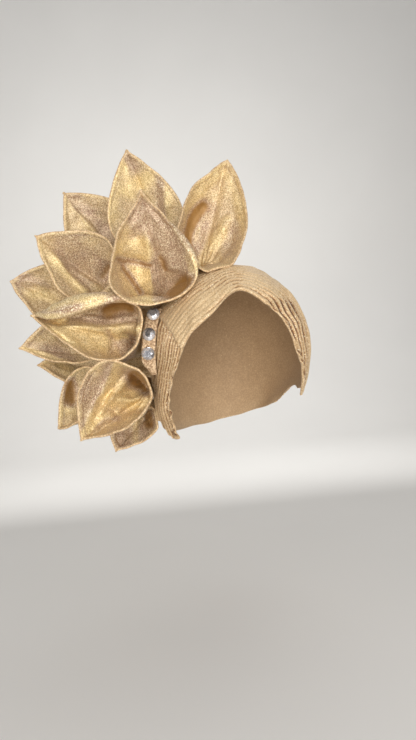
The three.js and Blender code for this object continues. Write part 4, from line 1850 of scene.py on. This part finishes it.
@dataclass
class CutStone:
    """A round flat-backed stone with a table, and star, kite and girdle facets round it.

    table to back hold the radius and the height of each ring of corners.
    """

    sides: int = 8
    table: Pair = (3.2, 3.9)
    crown: Pair = (4.8, 3.0)
    girdle: Pair = (6.0, 1.5)
    girdle_low: Pair = (6.0, 0.7)
    back: Pair = (5.4, 0.0)
    brightness: float = 0.75
    sparkle: float = 0.22

    def rings(self) -> list[Array]:
        """Rings of corners, in the stone's own axes.

        Returns:
            The rings from the table to the back.
        """
        made = []
        for (radius, height), count, offset in (
            (self.table, self.sides, 0.5), (self.crown, self.sides, 0), (self.girdle, 2 * self.sides, 0),
            (self.girdle_low, 2 * self.sides, 0), (self.back, 2 * self.sides, 0),
        ):
            turns = (np.arange(count) + offset) * 2 * math.pi / count
            flat = [radius * np.cos(turns), radius * np.sin(turns)]
            made.append(np.stack([*flat, np.full(count, height)], axis=-1))
        return made

    def facets(self) -> list[list[int]]:
        """The facets, the table first and the flat back last.

        Returns:
            The corner numbers of each.
        """
        many = 2 * self.sides
        table, crown, girdle = 0, self.sides, many
        low, back = girdle + many, girdle + 2 * many
        made = [list(range(self.sides))]
        for k in range(self.sides):
            after, before = (k + 1) % self.sides, (k - 1) % self.sides
            made.append([table + before, crown + k, table + k])
            made.append([table + k, crown + k, girdle + 2 * k + 1, crown + after])
            made.append([crown + k, girdle + 2 * k, girdle + 2 * k + 1])
            made.append([crown + k, girdle + (2 * k - 1) % many, girdle + 2 * k])
        for upper, lower in ((girdle, low), (low, back)):
            for j in range(many):
                onward = (j + 1) % many
                made.append([upper + j, lower + j, lower + onward, upper + onward])
        return [*made, [back + j for j in reversed(range(many))]]

    def build(self, cut: StoneCut, base: Array, axes: Array, glass: bpy.types.Material) -> bpy.types.Object:
        """Builds one stone.

        Args:
            cut: Its name and the tones of its facets.
            base: The middle of its back.
            axes: Its own directions, one a row, the last one out of its table.
            glass: Its finish.

        Returns:
            The stone.
        """
        corners = np.vstack(self.rings())
        facets = self.facets()
        rng = np.random.default_rng(round(100 * cut.place))
        mesh = bpy.data.meshes.new(f"{cut.name}_glass")
        mesh.from_pydata(((base + corners @ axes) * MM).tolist(), [], facets)
        middles = np.array([corners[facet].mean(axis=0) for facet in facets])
        around = np.arctan2(middles[:, 1], middles[:, 0]) - math.radians(cut.dark_side)
        # Painted reflections: each facet's tone sets its colour between the glass's dark and bright, darkest
        # toward dark_side, with a chance spread; the table takes its own tone.
        tones = self.brightness - cut.contrast * np.cos(around) + rng.normal(0, self.sparkle, len(facets))
        tones[0] = cut.table
        tone = mesh.attributes.new("tone", "FLOAT", "FACE")
        tone.data.foreach_set("value", np.clip(tones, 0, 1).astype(np.float32))
        mesh.materials.append(glass)
        mesh.update()
        return add_to_scene(mesh.name, mesh)


@dataclass
class StoneStrip:
    """The plain strip between pleats and petals, and the three stones with foil backs on it.

    edge holds how far back and how high the strip's inner edge lies, from its top to its bottom.
    """

    form: HeadForm
    wall: float = 1.5
    width: float = 12.5
    backward: float = 10
    gap: float = 0.35
    length: float = 62
    rows: int = 70
    taper: float = 0.6
    taper_from: float = 0.75
    section_steps: int = 14
    edge_bulge: float = 0.03
    probe: float = 0.02
    thread_step: float = 2.0
    tone: float = 0.1
    crumples: tuple[Pair, ...] = ((16, 0.5), (7, 0.25))
    crumple_seed: int = 9
    foil_radius: float = 5.3
    foil_wall: float = 0.16
    foil_sides: int = 32
    edge: tuple[Pair, ...] = ((-32, 42), (-36, 26), (-38, 10), (-37, -4), (-37, -18))

    def line(self, places: Array) -> Array:
        """The strip's inner edge, on the cap.

        Args:
            places: Shares of the way down it.

        Returns:
            A point for each place.
        """
        y, z = spline(np.array(self.edge, dtype=float), places).T
        rise = np.where(z >= 0, self.form.rise_above, self.form.drop_below)
        x = -self.form.half_width * np.sqrt(1 - (y / self.form.half_depth) ** 2 - (z / rise) ** 2)
        points = np.stack([x, y, z], axis=-1)
        return points + self.form.normal(points) * (self.gap + self.wall / 2)

    def axes(self, places: Array) -> tuple[Array, Array, Array]:
        """How the strip lies.

        Args:
            places: Shares of the way down it.

        Returns:
            Points of its inner edge, the direction across it, and the directions out of its front.
        """
        turn = math.radians(self.backward)
        across = np.array([-math.cos(turn), math.sin(turn), 0.0])
        below, above = np.minimum(places + self.probe, 1), np.maximum(places - self.probe, 0)
        down = self.line(below) - self.line(above)
        return self.line(places), across, unit(np.cross(across, down))

    def section(self) -> Array:
        """The strip's section with its rounded edges.

        Returns:
            Shares across and heights out of its middle, from the inner edge round.
        """
        face = np.linspace(0, 1, self.section_steps)
        half = np.full(self.section_steps, self.wall / 2)
        across = np.concatenate([face, [1 + self.edge_bulge], face[::-1], [-self.edge_bulge]])
        return np.stack([across, np.concatenate([half, [0], -half, [0]])], axis=-1)

    def build(self) -> bpy.types.Object:
        """Builds the strip as one closed wall with a soft buckle.

        Returns:
            The strip.
        """
        places = np.linspace(0, 1, self.rows)
        edge, across, front = self.axes(places)
        section = self.section()
        narrow = 1 - self.taper * ease(places, self.taper_from, 1)[:, None, None]
        sideways = across * section[:, :1] * self.width
        grid = edge[:, None] + sideways * narrow + front[:, None] * section[:, 1:]
        buckle = crumple(edge[:, None] + sideways, self.crumple_seed, self.crumples)
        grid = grid + front[:, None] * (buckle * np.sin(np.pi * section[:, 0].clip(0, 1)))[..., None]
        book = MeshBook()
        index = book.corners(grid, self.tone)
        ring = closed(index)
        wide = np.broadcast_to(np.arange(ring.shape[1]) * self.thread_step, ring.shape)
        down = np.broadcast_to(places[:, None] * self.length, ring.shape)
        book.grid(ring, np.stack([wide, down], axis=-1) * MM, flip=False)
        for row, flip in ((0, False), (-1, True)):
            book.fan(grid[row].mean(axis=0), 0.0, index[row], flip=flip)
        return book.write("stone_strip_cloth", STRIP_CLOTH.make())

    def build_foils(self) -> bpy.types.Object:
        """Builds the silver foil under the stones.

        Returns:
            The foils, as one piece.
        """
        book = MeshBook()
        turns = np.arange(self.foil_sides) * 2 * math.pi / self.foil_sides
        for stone in STONES:
            middle, (across, down, out) = self.seat(stone, self.gap / 2)
            ring = np.cos(turns)[:, None] * across + np.sin(turns)[:, None] * down
            faces = [middle + out * self.foil_wall / 2 * side for side in (-1, 1)]
            index = book.corners(np.stack([face + ring * self.foil_radius for face in faces]))
            wall = closed(index)
            book.grid(wall, np.zeros((*wall.shape, 2)), flip=True)
            for face, row, flip in zip(faces, index, (True, False)):
                book.fan(face, 0.0, row, flip=flip)
        return book.write("stone_foils", SilverFoil().make(), smooth=False)

    def seat(self, stone: StoneCut, height: float) -> tuple[Array, Array]:
        """Where a stone sits on the strip.

        Args:
            stone: The stone.
            height: How far over the strip.

        Returns:
            Its place, and its directions across, down and out, one a row.
        """
        edge, across, front = self.axes(np.array([stone.place]))
        middle = edge[0] + across * self.width / 2 + front[0] * (self.wall / 2 + height)
        return middle, np.array([across, np.cross(front[0], across), front[0]])

    def build_stones(self) -> list[bpy.types.Object]:
        """Builds the three stones."""
        glass = CutGlass().make()
        return [CutStone().build(stone, *self.seat(stone, self.gap), glass) for stone in STONES]

    def dress(
        self, strip: bpy.types.Object, foils: bpy.types.Object, stones: list[bpy.types.Object],
    ) -> None:
        """Tells the frame what the strip and the stones stand for.

        Args:
            strip: The built strip.
            foils: The foils under the stones.
            stones: The stones, from the top down.
        """
        for piece in (foils, *stones):
            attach(piece, BODY)
        for piece, stone in zip(stones, STONES):
            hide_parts(stone.name)
        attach(strip, BODY)
        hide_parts("stone_strip")


@dataclass(frozen=True)
class SoftLamp:
    """A square soft lamp that looks at a target, in metres."""

    name: str
    place: Point
    size: float
    power: float
    colour: Point
    target: Point = (-0.06, 0.0, 0.06)

    def hang(self) -> None:
        """Hangs the lamp."""
        data = bpy.data.lights.new(self.name, "AREA")
        data.size = self.size
        data.energy = self.power
        data.color = self.colour
        back = unit(np.array(self.place) - np.array(self.target))
        right = unit(np.cross([0, 0, 1], back))
        stand(add_to_scene(self.name, data), [right, np.cross(back, right), back], np.array(self.place))


LAMPS = (
    SoftLamp("key", (-0.25, -1.45, 0.22), 0.7, 11, (1.0, 0.97, 0.93)),
    SoftLamp("fill", (0.6, -1.25, 0.05), 0.9, 7, (0.97, 0.97, 0.98)),
    SoftLamp("low", (-0.35, -1.2, -0.15), 0.6, 3.2, (1.0, 0.98, 0.95)),
    SoftLamp("back", (0.25, 0.55, 1.25), 0.9, 2.5, (1.0, 0.98, 0.95)),
    SoftLamp("backdrop", (0.0, 0.55, 0.5), 1.2, 6, (1.0, 1.0, 1.0), target=(0.0, 1.6, 0.2)),
)


@dataclass
class Studio:
    """A plain pale sweep and soft lamps, in metres."""

    floor: float = -0.26
    half_width: float = 3.5
    front: float = -2.5
    bend: float = 0.9
    radius: float = 0.7
    bend_steps: int = 13
    top: float = 3.0
    paper: tuple[Colour, Colour] = (paint(236, 234, 230), paint(228, 226, 222))
    paper_clouds: float = 3
    paper_roughness: float = 0.9
    world: Colour = (0.86, 0.86, 0.87, 1.0)
    world_strength: float = 0.42

    def build(self) -> None:
        """Builds the sweep, the lamps and the dim surroundings."""
        self.build_sweep()
        for lamp in LAMPS:
            lamp.hang()
        world = bpy.data.worlds.new("studio")
        world.use_nodes = True
        shade = world.node_tree.nodes["Background"]
        shade.inputs["Color"].default_value = self.world
        shade.inputs["Strength"].default_value = self.world_strength
        bpy.context.scene.world = world

    def build_sweep(self) -> None:
        """Builds the floor that bends up into a wall."""
        turns = np.radians(np.linspace(0, 90, self.bend_steps))
        back = self.bend + self.radius * np.sin(turns)
        height = self.floor + self.radius * (1 - np.cos(turns))
        profile = [(self.front, self.floor), *zip(back, height), (self.bend + self.radius, self.top)]
        sides = (-self.half_width, self.half_width)
        book = MeshBook()
        index = book.corners(np.array([[(x, y, z) for x in sides] for y, z in profile]) / MM)
        book.grid(index, np.zeros((*index.shape, 2)), flip=True)
        shader = Shader("pale_paper")
        shader.give("Base Color", shader.mix(shader.noise(self.paper_clouds, 2), *self.paper))
        shader.give("Roughness", self.paper_roughness)
        book.write("sweep", shader.material)


def report(*pieces: bpy.types.Object) -> None:
    """Reports finished pieces by name and number of faces."""
    for piece in pieces:
        LOG.info("%s: %d faces", piece.name, len(piece.data.polygons))


def main() -> None:
    """Builds and dresses the whole head tie."""
    logging.basicConfig(level=logging.INFO, format="%(message)s")
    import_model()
    view, form = PhotoView(), HeadForm()
    view.make_camera()
    bpy.context.scene.view_settings.view_transform = "Standard"
    Studio().build()
    cap = PleatedCap(form, view)
    cap_cloth = cap.build()
    cap.dress(cap_cloth)
    report(cap_cloth)
    strip = StoneStrip(form)
    strip_cloth, foils, stones = strip.build(), strip.build_foils(), strip.build_stones()
    strip.dress(strip_cloth, foils, stones)
    report(strip_cloth, foils, *stones)
    hems = RolledHem()
    material = PETAL_CLOTH.make()
    for seed, cut in enumerate(PETALS, start=FIRST_PETAL_SEED):
        petal = Petal(cut, form, view, seed)
        cloth, rim = petal.build(material)
        hem = hems.build(f"petal_{cut.name}_hem", rim)
        petal.dress(cloth, hem)
        report(cloth, hem)


if __name__ == "__main__":
    main()
